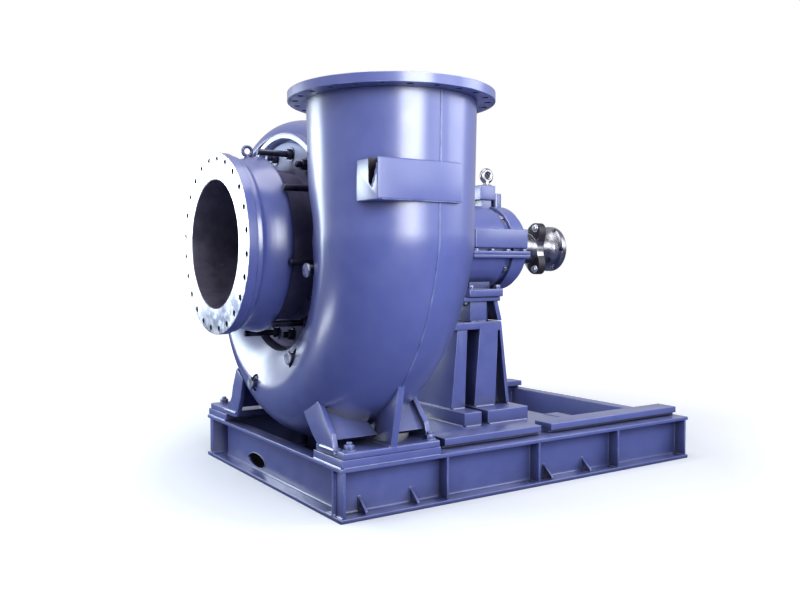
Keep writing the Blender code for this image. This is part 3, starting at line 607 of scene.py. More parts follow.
feet = {
    # (y, z) outlines of the end and middle ribs, y of the plate, shift of the webs, (x, y) of the bolts
    "near": {"end": [(0.700, 0.3273), (0.850, 0.3273), (0.816, 0.431), (0.673, 0.580), (0.499, 0.507), (0.607, 0.396)],
             "middle": [(0.640, 0.3273), (0.930, 0.3273), (1.015, 0.700), (0.640, 0.740)],
             "plate": (0.630, 0.935), "shift": 0.0, "bolts": [(-0.235, 0.885), (0.255, 0.885)]},
    "far": {"end": [(0.440, 0.3273), (0.620, 0.3273), (0.515, 0.451), (0.498, 0.510), (0.431, 0.641), (0.332, 0.582),
                    (0.379, 0.448)],
            "middle": [(0.540, 0.3273), (0.840, 0.3273), (0.640, 0.560), (0.480, 0.660)],
            "plate": (0.500, 0.920), "shift": -0.270, "bolts": [(-0.217, 0.860), (0.230, 0.860)]},
    "web": [(-0.285, 0.800, 0.395), (-0.015, 0.800, 0.395), (-0.060, 0.740, 0.480), (-0.285, 0.660, 0.560)],
    "plateThick": 0.036,
    "halfLength": 0.290,
}


# Sloping web: the face's four corners and the same four moved 30 mm inwards and 18 mm down.
def footWeb(side, end, shift):
    face = np.array(feet["web"]) + [0.0, shift, 0.0]
    rings = np.stack([face, face + [0.0, -0.030, -0.018]])
    rings = rings * [-end, side, 1.0] + [voluteX, 0.0, 0.0]
    return patch(rings, capped=True)


# Each foot: a plate, two end ribs with a middle rib between them, two sloping webs, fillets and two bolts.
def buildFeet():
    low, half = line["padTop"], feet["halfLength"]
    top = low + feet["plateThick"]
    for label, side in (("near", -1), ("far", 1)):
        f = feet[label]
        inner, outer = f["plate"]
        forms, seams = [block((voluteX - half, side * inner, low), (voluteX + half, side * outer, top), 0.005)], []
        for x, thick, outline in ((-0.285, 0.032, f["end"]), (0.0, 0.040, f["middle"]), (0.285, 0.032, f["end"])):
            ends = [voluteX + x + face * thick / 2 for face in (-1, 1)]
            forms.append(plate([(side * y, z) for y, z in outline], "x", *ends, 0.005, 0.010))
            seams += [weld((x, side * outline[0][0], top), (x, side * outline[1][0], top), 0.009) for x in ends]
        forms += [footWeb(side, end, f["shift"]) for end in (-1, 1)]
        makePiece("foot_" + label, forms, "castEnamel")
        makePiece("foot_fillets_" + label, seams, "castEnamel")
        spots = [(voluteX + x, side * y, top) for x, y in f["bolts"]]
        makePiece("foot_bolts_" + label, fasteners(spots, (0, 0, 1), hexBolt(0.030, 0.8, 0.014)), "smallCastEnamel")


pad = {"left": -0.345, "right": 0.120, "low": 0.170, "high": 0.360, "front": -1.348, "back": -1.100, "notchDeep": 0.045}


# Bare name pad: front plate on an end bar, with the upper part of the seam between them left open as a V, its faces
# painted black as shade.
def buildNamePad():
    x0, x1 = voluteX + pad["left"], voluteX + pad["right"]
    low, high = shaftZ + pad["low"], shaftZ + pad["high"]
    made = makePiece("name_pad", block((x0, pad["front"], low), (x1, pad["back"], high), 0.005), "castEnamel")
    notch = [(-1.262, high + 0.02), (-1.339, high + 0.02), (-1.343, high - 0.030), (-1.328, high - 0.060),
             (-1.312, low + 0.085), (-1.290, low + 0.056), (-1.264, low + 0.080)]
    carve(made, patch(np.array([[(x, y, z) for y, z in notch] for x in (x0 - 0.02, x0 + pad["notchDeep"])]),
                      capped=True))
    # Painted shade: the faces inside the V are painted black
    paintFaces(made, "oxideBlackAndShade", lambda x, y, z, r, nx: (x > x0 + 0.007) & (x < x0 + 0.047)
               & (y < -1.255) & (y > -1.345) & (z > low + 0.03))
    seam = [(x0 + 0.002, -1.341, high - 0.030), (x0 + 0.002, -1.320, high - 0.085), (x0 + 0.002, -1.293, low + 0.058)]
    t = np.linspace(0, 2, 13)
    path = np.stack([np.interp(t, [0, 1, 2], [p[k] for p in seam]) for k in range(3)], axis=1)
    bead = 0.0055 * (1 + 0.25 * np.cos(9.0 * t))
    edge = weld((x0 + 0.02, -1.3475, low + 0.002), (x1 - 0.01, -1.3475, low + 0.002), 0.003)
    makePiece("name_pad_bead", [sweep(path, bead, 8), edge], "castEnamel")


# Long casing pins: round head, shank and collar, each standing in a spot-faced pocket of the scroll's flank.
def buildPins():
    forms, collars = [], []
    head, shank = pins["head"], pins["shank"]
    for angle, radius, reach, floor in pins["places"]:
        spot = onCircle(0.0, radius, angle)[1:]
        x, low = voluteX - reach, voluteX - floor + 0.002
        forms.append(turned([(x, 0.0), (x, head), (x + 0.014, head), (x + 0.018, shank), (low, shank), (low, 0.0)],
                            spot, steps=48))
        collars.append(turned([(low - 0.016, 0.0), (low - 0.016, 0.038), (low, 0.038), (low, 0.0)], spot, steps=40,
                              corner=0.002))
    makePiece("casing_pins", forms, "facedSteel")
    makePiece("casing_pin_collars", collars, "smallCastEnamel")


buildFeet()
buildNamePad()
buildPins()
print("feet, pad and pins made")


# Flanges and the suction side

flanges = {
    # inner, outer and bolt circle radius, hole radius, number of holes, thickness
    "suction": (0.365, 0.5075, 0.475, 0.0165, 24, 0.050),
    "discharge": (0.380, 0.522, 0.482, 0.0165, 24, 0.046),
    "edge": 0.002,
}


# One sector per hole: in polar (r, f) the face runs straight from the hole's circle to the sector's border.
def holedFlange(kind, low, centre, axis, around=32):
    inner, outer, circle, hole, count, thick = flanges[kind]
    high, edge, half = low + thick, flanges["edge"], math.pi / count
    a = 2 * math.pi * np.arange(around) / around
    reach = np.maximum(np.abs(np.cos(a)), np.abs(np.sin(a)))
    u, v = np.cos(a) / reach, np.sin(a) / reach
    borderR = np.where(u > 0, circle + (outer - edge - circle) * u, circle + (circle - inner - edge) * u)
    borderF = half * v

    def holeRing(radius):
        x, y = circle + radius * np.cos(a), radius * np.sin(a)
        return np.hypot(x, y), np.arctan2(y, x)

    w = np.linspace(0, 1, 4)[:, None]
    holeR, holeF = holeRing(hole + edge)
    r, f = holeR + (borderR - holeR) * w, holeF + (borderF - holeF) * w
    wallR, wallF = holeRing(hole)
    rows = [(r[k], f[k], low) for k in (3, 2, 1, 0)]
    rows += [(wallR, wallF, low + edge), (wallR, wallF, high - edge)]
    rows += [(r[k], f[k], high) for k in (0, 1, 2, 3)]
    radius, turn = (np.array([row[k] for row in rows]) for k in (0, 1))
    station = np.array([row[2] for row in rows])[:, None] * np.ones(around)
    radius, station = (np.broadcast_to(q[None], (count,) + q.shape) for q in (radius, station))
    turn = turn[None] + half * (1 + 2 * np.arange(count)[:, None, None])
    quads = gridQuads(len(rows), around, wrapCols=True)
    points = spun(radius, turn, station, centre, axis).reshape(-1, 3)
    step = np.arange(count)[:, None, None] * len(rows) * around
    forms = [(points, (quads[None] + step).reshape(-1, 4), [])]
    steps = np.unique(np.round(borderF[np.abs(np.abs(u) - 1) < 1e-9], 9))[:-1]
    ring = (half * (1 + 2 * np.arange(count)[:, None]) + steps[None]).ravel()
    for profile in ([(low, outer - edge), (low + edge, outer), (high - edge, outer), (high, outer - edge)],
                    [(low, inner + edge), (low + edge, inner), (high - edge, inner), (high, inner + edge)]):
        s, rad, turn = np.broadcast_arrays(*np.array(profile).T[:, :, None], ring)
        forms.append(patch(spun(rad, turn, s, centre, axis)))
    return forms


# Both drilled flanges; the suction flange keeps bare metal on its face only, and the walls of its holes are painted
# black as shade.
def buildFlanges():
    s = faceX
    made = makePiece("suction_flange_drilled", holedFlange("suction", s, (0.0, shaftZ), "x"), "facedSteel")
    paintFaces(made, "plateEnamel", lambda x, y, z, r, nx: (x > s + 0.0025) & (r > 0.366))
    # Painted shade: the walls of the suction flange's holes are black
    paintFaces(made, "oxideBlackAndShade", lambda x, y, z, r, nx: (x > s + 0.0005) & (r > 0.44) & (r < 0.50)
               & (np.abs(nx) < 0.5))
    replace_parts(made, "suction_flange")
    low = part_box("discharge_flange")[1][2] - flanges["discharge"][-1]
    made = makePiece("discharge_flange_drilled", holedFlange("discharge", low, (voluteX, line["nozzleY"]), "z"))
    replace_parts(made, "discharge_flange")


# Forged lifting eye: round foot, waisted neck, and a ring in the plane of the shaft, whose section at each point
# of the circle is thick (cos b * outwards + sin b * y).
def eye(x, foot, ringHeight, ringRadius, thick, footRadius):
    neck = footRadius * 0.6
    seat, middle = shaftZ + foot, shaftZ + ringHeight
    low = middle - ringRadius
    stem = turned([(seat, 0.0), (seat, footRadius), (seat + 0.008, footRadius), (seat + 0.012, neck),
                   (low, neck), (low, 0.0)], (x, 0.0), "z", 32, 0.003)
    a = (2 * math.pi * np.arange(48) / 48)[:, None]
    b = 2 * math.pi * np.arange(16) / 16
    r = ringRadius + thick * np.cos(b)
    points = [x + r * np.cos(a), np.broadcast_to(thick * np.sin(b), (48, 16)), middle + r * np.sin(a)]
    return [stem, patch(np.stack(points, axis=-1), wrapRows=True)]


suction = {
    # (x from the flange face, radius)
    "drum": [(0.0503, 0.365), (0.0503, 0.4900), (0.068, 0.4945), (0.084, 0.4975), (0.094, 0.486), (0.108, 0.4805),
             (0.132, 0.4820), (0.160, 0.4865), (0.190, 0.4935), (0.222, 0.5010), (0.243, 0.5030), (0.262, 0.4950),
             (0.272, 0.470), (0.275, 0.440), (0.4347, 0.430), (0.4347, 0.600), (0.4697, 0.600), (0.4697, 0.553),
             (0.490, 0.553), (0.490, 0.330), (0.330, 0.330)],
    "lining": [(0.003, 0.3646), (0.050, 0.3646), (0.330, 0.3296), (0.485, 0.3296), (0.485, 0.3236), (0.328, 0.3236),
               (0.048, 0.3586), (0.003, 0.3606)],
    "studSeat": 0.4347, "studCircle": 0.530,
    # first stud in degrees from the top, length beyond the nut
    "studs": {"long": (-56.25, 0.178), "short": (-33.75, 0.030)},
}


# Drum with its rear painted black as shade, brushed lining in the bore, lifting eye, and long and short studs in turn.
def buildSuctionSide():
    s = faceX
    made = makePiece("suction_drum", turned(suction["drum"], steps=180, corner=0.010, start=s), "drumEnamel")
    # Painted shade: the drum's rear, from 273.5 mm behind the flange face, is painted dark
    paintFaces(made, "paintedRecessShade", lambda x, y, z, r, nx: x > s + 0.2735)
    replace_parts(made, "suction_cover")
    makePiece("bore_lining", turned(suction["lining"], steps=160, corner=0.001, start=s), "liningGrey")
    made = makePiece("drum_lifting_eye", eye(s + 0.205, 0.4915, 0.533, 0.027, 0.009, 0.022))
    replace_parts(made, "suction_lifting_eye")
    for name, (first, stud) in suction["studs"].items():
        spots = onCircle(s + suction["studSeat"], suction["studCircle"], first + 45.0 * np.arange(8))
        makePiece("cover_studs_" + name, fasteners(spots, (-1, 0, 0), hexBolt(0.036, 0.85, stud), 30), "darkBolt")


buildFlanges()
buildSuctionSide()
print("suction and discharge made")


# Bearing housing and coupling

housing = {
    "start": 1.330, "end": 2.075, "split": -0.048,
    # (x from the flange face, radius)
    "body": [(1.330, 0.0715), (1.330, 0.275), (1.360, 0.285), (1.390, 0.262), (1.570, 0.262), (1.600, 0.285),
             (1.900, 0.285), (1.905, 0.258), (1.955, 0.258), (1.960, 0.285), (2.060, 0.285), (2.075, 0.270),
             (2.075, 0.0715)],
    "cover": [(2.0753, 0.0715), (2.0753, 0.268), (2.092, 0.262), (2.100, 0.250), (2.100, 0.0715)],
    "cap": [(2.1003, 0.082), (2.1003, 0.175), (2.180, 0.165), (2.190, 0.150), (2.190, 0.082)],
    "grooveBolts": [-43.0, -122.0, 43.0, 122.0],
    "eyeX": 1.956, "eyeHeight": 0.494,
}


# Split housing with side ribs, joint flanges, feet, breather, end cover and cap, lifting eye with a black disc of
# painted shade in it, and bolts.
def buildHousing():
    h = housing
    start, end, z = h["start"], h["end"], shaftZ
    split, foot = z + h["split"], start + 0.290
    forms = [turned(h["body"], steps=144, corner=0.005)]
    for low, high in ((split + 0.0008, split + 0.022), (split - 0.022, split - 0.0008)):
        forms += both(block((start + 0.270, 0.200, low), (end - 0.005, 0.325, high), 0.003))
    forms += both(block((start + 0.300, 0.200, z - 0.008), (end - 0.005, 0.300, z + 0.120), 0.006))
    forms.append(block((foot, -0.250, z - 0.325), (foot + 0.280, 0.250, z - 0.272), 0.006))
    forms.append(block((foot + 0.060, -0.170, z - 0.290), (foot + 0.230, 0.170, z - 0.220), 0.006))
    breather = [block((end - 0.190, -0.042, z + 0.230), (end - 0.108, 0.042, z + 0.330), 0.004),
                block((end - 0.213, -0.055, z + 0.325), (end - 0.083, 0.055, z + 0.425), 0.005),
                turned([(z + 0.24, 0.0), (z + 0.24, 0.040), (z + 0.375, 0.040), (z + 0.375, 0.0)],
                       (end - 0.040, 0.0), "z", 40)]
    makePiece("breather_block", fromFace(breather), "smallCastEnamel")
    made = makePiece("bearing_housing", fromFace(forms), "smallCastEnamel")
    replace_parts(made, "bearing_housing_upper", "bearing_housing_lower")
    made = makePiece("drive_cover", turned(h["cover"], steps=120, corner=0.003, start=faceX), "smallCastEnamel")
    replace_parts(made, "bearing_cover_drive")
    made = makePiece("drive_cap", turned(h["cap"], steps=96, start=faceX), "smallCastEnamel")
    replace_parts(made, "bearing_end_cap")
    eyeX = faceX + h["eyeX"]
    made = makePiece("housing_eye", eye(eyeX, 0.4252, h["eyeHeight"], 0.035, 0.019, 0.036), "gunSteel")
    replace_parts(made, "housing_lifting_eye")
    # Painted shade: a black disc fills the eye's hole, where its inside is dark
    disc = [(-0.005, 0.0), (-0.005, 0.024), (0.005, 0.024), (0.005, 0.0)]
    makePiece("housing_eye_shade_disc", turned(disc, (eyeX, z + h["eyeHeight"]), "y", 40, 0.002), "oxideBlackAndShade")
    for name, xs, y, seat, size, head in (("split_bolts", (0.30, 0.43, 0.56, 0.70), 0.306, split + 0.022, 0.018, 0.6),
                                          ("housing_foot_bolts", (0.320, 0.540), 0.222, z - 0.272, 0.026, 0.8)):
        spots = [(faceX + start + x, side * y, seat) for x in xs for side in (-1, 1)]
        makePiece(name, fasteners(spots, (0, 0, 1), hexBolt(size, head)), "smallCastEnamel")
    a = h["grooveBolts"]
    bolts = [fasteners(onCircle(faceX + end + 0.025, 0.215, everyTurn(8)), (1, 0, 0), hexBolt(0.020, 0.6)),
             fasteners(onCircle(faceX + end - 0.145, 0.2575, a), onCircle(0, 1, a) - [0, 0, z], hexBolt(0.022, 0.7))]
    makePiece("housing_bolts", bolts, "boltSteel")


coupling = {
    "flange": 2.330, "spacerEnd": 2.520,
    # (x from the flange face, radius)
    "hub": [(2.3003, 0.0), (2.3003, 0.101), (2.330, 0.103), (2.330, 0.201), (2.392, 0.201), (2.392, 0.101),
            (2.460, 0.101), (2.488, 0.112), (2.508, 0.134), (2.520, 0.160), (2.560, 0.160), (2.560, 0.070),
            (2.520, 0.070), (2.520, 0.0)],
    "arms": (3, 0.095, 0.18, -31.0),            # number, depth between them, least radius, first one's degrees
    "sleeve": [(2.1915, 0.0705), (2.1915, 0.104), (2.2998, 0.104), (2.2998, 0.0705)],
}


# Three-armed coupling half with its flared spacer end, the shaft sleeve, and a bolt and nut in each arm.
def buildCoupling():
    c = coupling
    flange, mid, first = faceX + c["flange"], faceX + c["spacerEnd"], c["arms"][-1]
    made = makePiece("coupling_half", turned(c["hub"], steps=192, start=faceX, arms=c["arms"]), "gunSteel", "rotor")
    paintFaces(made, "oxideBlackAndShade", lambda x, y, z, r, nx: (x < flange + 0.063) & (r > 0.124))
    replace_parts(made, "coupling_hub")
    makePiece("shaft_sleeve", turned(c["sleeve"], steps=96, corner=0.003, start=faceX), "gunSteel", "rotor")
    rear = onCircle(flange, 0.166, first + 120.0 * np.arange(3))
    tips = onCircle(mid, 0.145, first + 60.0 * np.arange(6))
    makePiece("coupling_bolts", fasteners(rear, (-1, 0, 0), hexBolt(0.024, 0.6)), "paleSteel", "rotor")
    forms = [fasteners(tips, (-1, 0, 0), hexBolt(0.016, 0.4)),
             fasteners(rear + [0.062, 0, 0], (1, 0, 0), hexBolt(0.022, 0.7, 0.01))]
    makePiece("coupling_nuts", forms, "darkBolt", "rotor")


buildHousing()
buildCoupling()
print("bearing housing and coupling made")


# Base and pedestal

base = {
    "halfLength": 1.315, "halfWidth": 0.932, "height": 0.275, "flange": 0.180, "flangeThick": 0.022, "web": 0.014,
    "bay": 0.6575, "reach": 0.085, "cross": 0.2597, "between": 0.7517,
    "plateReach": 0.928,      # outer edge of the bay plates and, 2 mm further in, of the gussets
    "root": 0.014,            # rolled fillet between web and flange
    "weld": 0.0055,
    # channel, x of its back, side it opens to
    "cross_channels": [("casing", -0.650, 1), ("middle", 0.0425, -1), ("pedestal", 0.355, -1)],
}


# I-beams along both sides, with a plate at each bay and a gusset at each anchor, all welded round.
def buildSideBeams():
    b = base
    half, thick, high, web = b["flange"] / 2, b["flangeThick"], b["height"], b["web"] / 2
    right = [(half, 0), (half, thick), (web, thick), (web, high - thick), (half, high - thick), (half, high)]
    outline = right + [(-y, z) for y, z in reversed(right)]
    fillet = [0.003, 0.005, b["root"], b["root"], 0.005, 0.003] * 2
    anchors = [x + step for x in (voluteX, faceX + 1.867) for step in (-0.158, 0.158)]
    stations = [-1.291, 1.291, -b["bay"], 0.0, b["bay"]]
    for label, side in (("near", -1), ("far", 1)):
        middle, outer = side * (b["halfWidth"] - half), side * b["plateReach"]
        form = [plate([(middle + y, z) for y, z in outline], "x", -b["halfLength"], b["halfLength"], 0.003, fillet)]
        form += [block((x - web, middle, thick - 0.002), (x + web, outer, high - thick + 0.002), 0.0025)
                 for x in stations]
        gusset = [(middle, 0.020), (outer - side * 0.002, 0.020), (outer - side * 0.002, 0.040), (middle, 0.110)]
        form += [plate(gusset, "x", x - web, x + web, 0.0025) for x in anchors]
        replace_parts(makePiece("side_beam_" + label, form), "base_beam_" + label)
        face = middle + side * web
        seams = []
        for edge in [x + step for x in stations for step in (-web, web)]:
            seams.append(weld((edge, face, thick + 0.01), (edge, face, high - thick - 0.01), b["weld"]))
            seams += [weld((edge, face + side * 0.012, z), (edge, outer - side * 0.008, z), b["weld"])
                      for z in (thick, high - thick)]
        for edge in [x + step for x in anchors for step in (-web, web)]:
            seams.append(weld((edge, face + side * 0.01, thick), (edge, outer - side * 0.006, thick), b["weld"]))
            seams.append(weld((edge, face, thick + 0.01), (edge, face, 0.102), b["weld"]))
        makePiece("side_beam_welds_" + label, seams)


# Rolled channel across the base, its back at x and open to one side.
def channel(x, facing, high):
    thick, reach = base["flangeThick"], x + facing * base["reach"]
    back = x + facing * 0.012
    outline = [(x, 0.0), (reach, 0.0), (reach, thick), (back, thick), (back, high - thick), (reach, high - thick),
               (reach, high), (x, high)]
    fillet = [0.004, 0.003, 0.006, base["root"], base["root"], 0.006, 0.003, 0.004]
    return plate(outline, "y", -base["between"], base["between"], 0.002, fillet)


# End and cross channels, the oval hand hole in the suction end, and the deck with its two tongues.
def buildCrossMembers():
    b = base
    end, wide, low, high = b["halfLength"] - b["reach"], b["between"], 0.260, b["height"]
    made = makePiece("end_channel_suction", channel(-end, -1, high))
    a = 2 * math.pi * np.arange(48) / 48
    oval = np.stack([0.270 + 0.125 * np.cos(a), 0.078 + 0.044 * np.sin(a)], axis=1)
    ovalAt = lambda x: np.column_stack([np.full(48, x), oval])
    carve(made, patch(np.stack([ovalAt(-end - 0.05), ovalAt(-end + 0.05)]), capped=True))
    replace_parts(made, "base_end_beam_suction")
    makePiece("oval_rim", sweep(ovalAt(-end - 0.012), 0.004, 8, True))
    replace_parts(makePiece("end_channel_drive", channel(end, 1, high)), "base_end_beam_drive")
    for name, x, facing in b["cross_channels"]:
        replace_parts(makePiece("cross_channel_" + name, channel(x, facing, b["cross"])), "base_cross_beam_" + name)
    made = makePiece("deck_sheet", block((-0.650, -wide, low), (0.595, wide, high), 0.003))
    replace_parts(made, "base_deck_plate")
    seams, z = [], high - 0.001
    for label, y0, y1 in (("near", -wide, -0.32), ("far", 0.32, wide)):
        made = makePiece("deck_tongue_" + label, block((0.5953, y0, low), (0.715, y1, high), 0.003))
        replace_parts(made, "base_deck_strip_" + label)
        seams.append(weld((0.5953, y0 + 0.01, z), (0.5953, y1 - 0.01, z), 0.004))
    for y in (b["flange"] - b["halfWidth"], b["halfWidth"] - b["flange"]):
        seams.append(weld((-0.640, y, z), (0.700, y, z), 0.004))
        for x, facing in ((-end, -1), (end, 1)):
            seams.append(weld((x + facing * 0.006, y, z), (x + facing * 0.080, y, z), 0.004))
            seams.append(weld((x, y, 0.03), (x, y, high - 0.03), 0.006))
    makePiece("deck_welds", seams)


rails = {
    # (y, height over the beams) of the section, and x from the flange face of both rails and of the pad
    "section": [(0.825, 0), (0.825, 0.018), (0.848, 0.018), (0.848, 0.058), (0.700, 0.058), (0.700, 0.018),
                (0.745, 0.018), (0.745, 0)],
    "fillets": [0.001, 0.001, 0.003, 0.004, 0.004, 0.003, 0.001, 0.001],
    "spans": [(0.985, 1.690), (1.772, 2.900)],
    "pad": (0.300, 0.900),
}


# Motor rails, and the welded pads under the casing's feet, all set out from the flange face.
def buildRails():
    low = base["height"] + gap
    p0, p1 = rails["pad"]
    seams = []
    for label, side in (("near", -1), ("far", 1)):
        for number, (x0, x1) in enumerate(rails["spans"], 1):
            form = plate([(side * y, low + z) for y, z in rails["section"]], "x", x0, x1, 0.003, rails["fillets"])
            made = makePiece("motor_rail_%s_%d" % (label, number), fromFace([form]))
            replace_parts(made, "base_rail_%s_%d" % (label, number))
        form = block((p0, side * 0.620, low), (p1, side * 0.930, line["padTop"]), 0.003)
        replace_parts(makePiece("foot_pad_" + label, fromFace([form])), "casing_pad_" + label)
        seams += [weld((p0 + 0.01, side * y, low), (p1 - 0.01, side * y, low), 0.005) for y in (0.620, 0.930)]
        seams += [weld((x, side * 0.63, low), (x, side * 0.92, low), 0.005) for x in (p0, p1)]
    makePiece("pad_welds", fromFace(seams))


pedestal = {
    "half": 0.240, "sillHalf": 0.400, "sillHigh": 0.085, "topDown": 0.487, "capThick": 0.048,
    # x from the flange face of each sill, and of the slim leg, the broad leg and the stool's rib at bottom and top
    "sills": {"suction": (1.465, 1.600), "drive": (1.650, 1.985)},
    "slim": (1.480, 1.590, 1.610, 1.530), "broad": (1.666, 1.964, 1.893, 1.716), "rib": (1.896, 1.931, 1.890, 1.856),
    # start, end and size of the welds along x beside the legs, the sills and the stool
    "legSeams": [(1.490, 1.582), (1.676, 1.828), (1.942, 1.958)], "sillSeams": [(1.475, 1.590), (1.660, 1.975)],
}


# Two sills, a slim and a broad leg with a recess in each cheek, the cap and the stool, welded, from the flange face.
def buildPedestal():
    p = pedestal
    half, wide, low = p["half"], p["sillHalf"], base["height"] + gap
    sill, top = low + p["sillHigh"], shaftZ - p["topDown"]
    capLow, legLow = top - p["capThick"], sill + gap
    foot, seat = shaftZ - 0.3253, top + gap
    taper = lambda xs, z0, z1: [(x, z) for x, z in zip(xs, (z0, z0, z1, z1))]
    for name, (x0, x1) in p["sills"].items():
        form = block((x0, -wide, low), (x1, wide, sill))
        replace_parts(makePiece("sill_" + name, fromFace([form])), "pedestal_sill_" + name)
    form = plate(taper(p["slim"], legLow, capLow - gap), "y", -half, half, 0.004)
    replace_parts(makePiece("leg_slim", fromFace([form])), "pedestal_leg_suction")
    form = plate(taper(p["broad"], legLow, top), "y", -half, half, 0.004)
    leg = makePiece("leg_broad", fromFace([form]))
    recess = [(1.835, legLow - 0.1), (1.935, legLow - 0.1), (1.935, legLow + 0.01), (1.880, top - 0.06),
              (1.862, top - 0.06)]
    for side in (-1, 1):
        rings = np.array([[(faceX + x, y, z) for x, z in recess] for y in (side * 0.150, side * 0.300)])
        carve(leg, patch(rings, capped=True))
    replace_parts(leg, "pedestal_leg_drive")
    capEnd = 1.716 - 0.05 * p["capThick"] / (top - legLow) - 0.001
    cap = block((1.500, -half - 0.01, capLow), (capEnd, half + 0.01, top))
    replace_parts(makePiece("pedestal_top", fromFace([cap])), "pedestal_cap")
    stool = [block((1.663, -0.200, seat), (1.800, 0.200, foot - 0.020)),
             block((1.780, -0.120, seat), (1.880, 0.120, foot - 0.020)),
             block((1.600, -0.220, foot - 0.030), (1.900, 0.220, foot)),
             plate(taper(p["rib"], seat, foot - 0.015), "y", -0.200, 0.200, 0.004)]
    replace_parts(makePiece("housing_stool", fromFace(stool)), "bearing_stool")
    seams = [weld((capEnd + 0.001, -half, top), (capEnd + 0.001, half, top), 0.004)]
    for side in (-1, 1):
        seams += [weld((x0, side * half, sill), (x1, side * half, sill), 0.006) for x0, x1 in p["legSeams"]]
        seams += [weld((x0, side * wide, low), (x1, side * wide, low), 0.006) for x0, x1 in p["sillSeams"]]
        seams.append(weld((1.67, side * 0.2, seat), (1.79, side * 0.2, seat), 0.005))
    seams += [weld((x, -half + 0.01, sill), (x, half - 0.01, sill), 0.006) for x in p["slim"][:2] + p["broad"][:2]]
    seams += [weld((x, -0.39, low), (x, 0.39, low), 0.006) for ends in p["sills"].values() for x in ends]
    makePiece("pedestal_welds", fromFace(seams))
    spots = [(faceX + 1.630, y, foot - 0.030) for y in (-0.190, 0.190)]
    makePiece("stool_nuts", fasteners(spots, (0, 0, -1), hexBolt(0.024, 0.8, 0.008)), "darkBolt")


buildSideBeams()
buildCrossMembers()
buildRails()
buildPedestal()
print("base and pedestal made")


# Back of the casing

rear = {
    # (x from the casing's back, radius)
    "cover": [(-0.028, 0.082), (-0.028, 0.476), (0.0003, 0.476), (0.0003, 0.585), (0.050, 0.585), (0.050, 0.330),
              (0.110, 0.250), (0.110, 0.082)],
    "seal": [(0.1103, 0.082), (0.1103, 0.190), (0.2603, 0.190), (0.2703, 0.150), (0.3403, 0.150), (0.3403, 0.082)],
    "bracket": [(0.0503, 0.345), (0.0503, 0.520), (0.0903, 0.520), (0.1103, 0.430), (0.4697, 0.300), (0.4847, 0.330),
                (0.5297, 0.330), (0.5297, 0.230), (0.4497, 0.230)],
    "gland": [(0.3406, 0.084), (0.3406, 0.120), (0.3583, 0.120), (0.3583, 0.084)],
    # number, circle radius, x from the casing's back, size, head height, way they point
    "bolts": [(24, 0.552, 0.050, 0.028, 0.7, 1), (16, 0.480, 0.0903, 0.028, 0.7, 1), (12, 0.170, 0.2603, 0.016, 0.7, 1),
              (12, 0.315, 0.4847, 0.020, 0.6, -1)],
}


# Back cover, stuffing box with its gland, and the lantern bracket with a window on each side.
def buildBracket():
    back = voluteX + 0.20
    made = makePiece("casing_back_cover", turned(rear["cover"], steps=144, corner=0.006, start=back), "smallCastEnamel")
    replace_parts(made, "back_cover")
    made = makePiece("stuffing_box", turned(rear["seal"], steps=96, corner=0.005, start=back), "smallCastEnamel")
    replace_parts(made, "seal_housing")
    made = makePiece("lantern_bracket", turned(rear["bracket"], steps=144, corner=0.008, start=back), "smallCastEnamel")
    for form in fromFace(both(block((0.975, 0.10, shaftZ - 0.150), (1.205, 0.60, shaftZ + 0.150), 0))):
        carve(made, form)
    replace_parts(made, "bearing_bracket")
    bolts = [fasteners(onCircle(back + x, radius, everyTurn(count)), (way, 0, 0), hexBolt(size, head))
             for count, radius, x, size, head, way in rear["bolts"]]
    makePiece("back_bolts", bolts, "boltSteel")
    makePiece("gland_ring", turned(rear["gland"], steps=72, corner=0.003, start=back), "gunSteel")


buildBracket()
for name, finish in (("impeller", "castAlloy"), ("shaft", "shaftSteel")):
    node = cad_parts[name]
    for slot in node.material_slots:
        slot.material = finishes[finish]
print("bracket made, rotor finished")


# Floor, lights and camera

stage = {
    "half": 60.0,
    "seen": "#EDEEF2",        # paper as the camera sees it
    "cast": "#4A5278",        # what the paper throws back on the pump
    "under": "#15161C",       # shade inside the base, within underX and underY
    "underX": 1.29, "underY": 0.90,
    "glow": (1.8, 5.5),       # metres over which the paper fades to white
    "fill": 0.19,             # light of the white room, and of its reflection
    "shine": 0.55,
}


# White paper floor for the camera, darker for all other light, and glowing into the background far off.
def buildStage():
    g, far = stage, stage["half"]
    floor = bpy.data.meshes.new("studio_floor")
    floor.from_pydata([(-far, -far, 0), (far, -far, 0), (far, far, 0), (-far, far, 0)], [], [(0, 1, 2, 3)])
    made = bpy.data.objects.new("studio_floor", floor)
    bpy.context.scene.collection.objects.link(made)
    paint, tree, shader, where = newFinish("paperFloorPale", 0.9)
    shader.inputs["Emission Color"].default_value = linear("#FFFFFF")
    seen = addNode(tree, "LightPath", out="Is Camera Ray")
    grey = addNode(tree, "Mix", {0: seen, 6: linear(g["cast"]), 7: linear(g["seen"])}, 2, data_type="RGBA")
    apart = addNode(tree, "VectorMath", {0: where}, "Vector", operation="ABSOLUTE")
    inside = [addNode(tree, "Math", {0: addNode(tree, "SeparateXYZ", {0: apart}, k), 1: g[key]}, operation="LESS_THAN")
              for k, key in enumerate(("underX", "underY"))]
    under = addNode(tree, "Math", {0: inside[0], 1: inside[1]}, operation="MULTIPLY")
    grey = addNode(tree, "Mix", {0: under, 6: grey, 7: linear(g["under"])}, 2, data_type="RGBA")
    tree.links.new(grey, shader.inputs["Base Color"])
    away = addNode(tree, "VectorMath", {0: where}, "Value", operation="LENGTH")
    glow = addNode(tree, "MapRange", {"Value": away, "From Min": g["glow"][0], "From Max": g["glow"][1]})
    glow = addNode(tree, "Math", {0: glow, 1: seen}, operation="MULTIPLY")
    tree.links.new(glow, shader.inputs["Emission Strength"])
    floor.materials.append(paint)


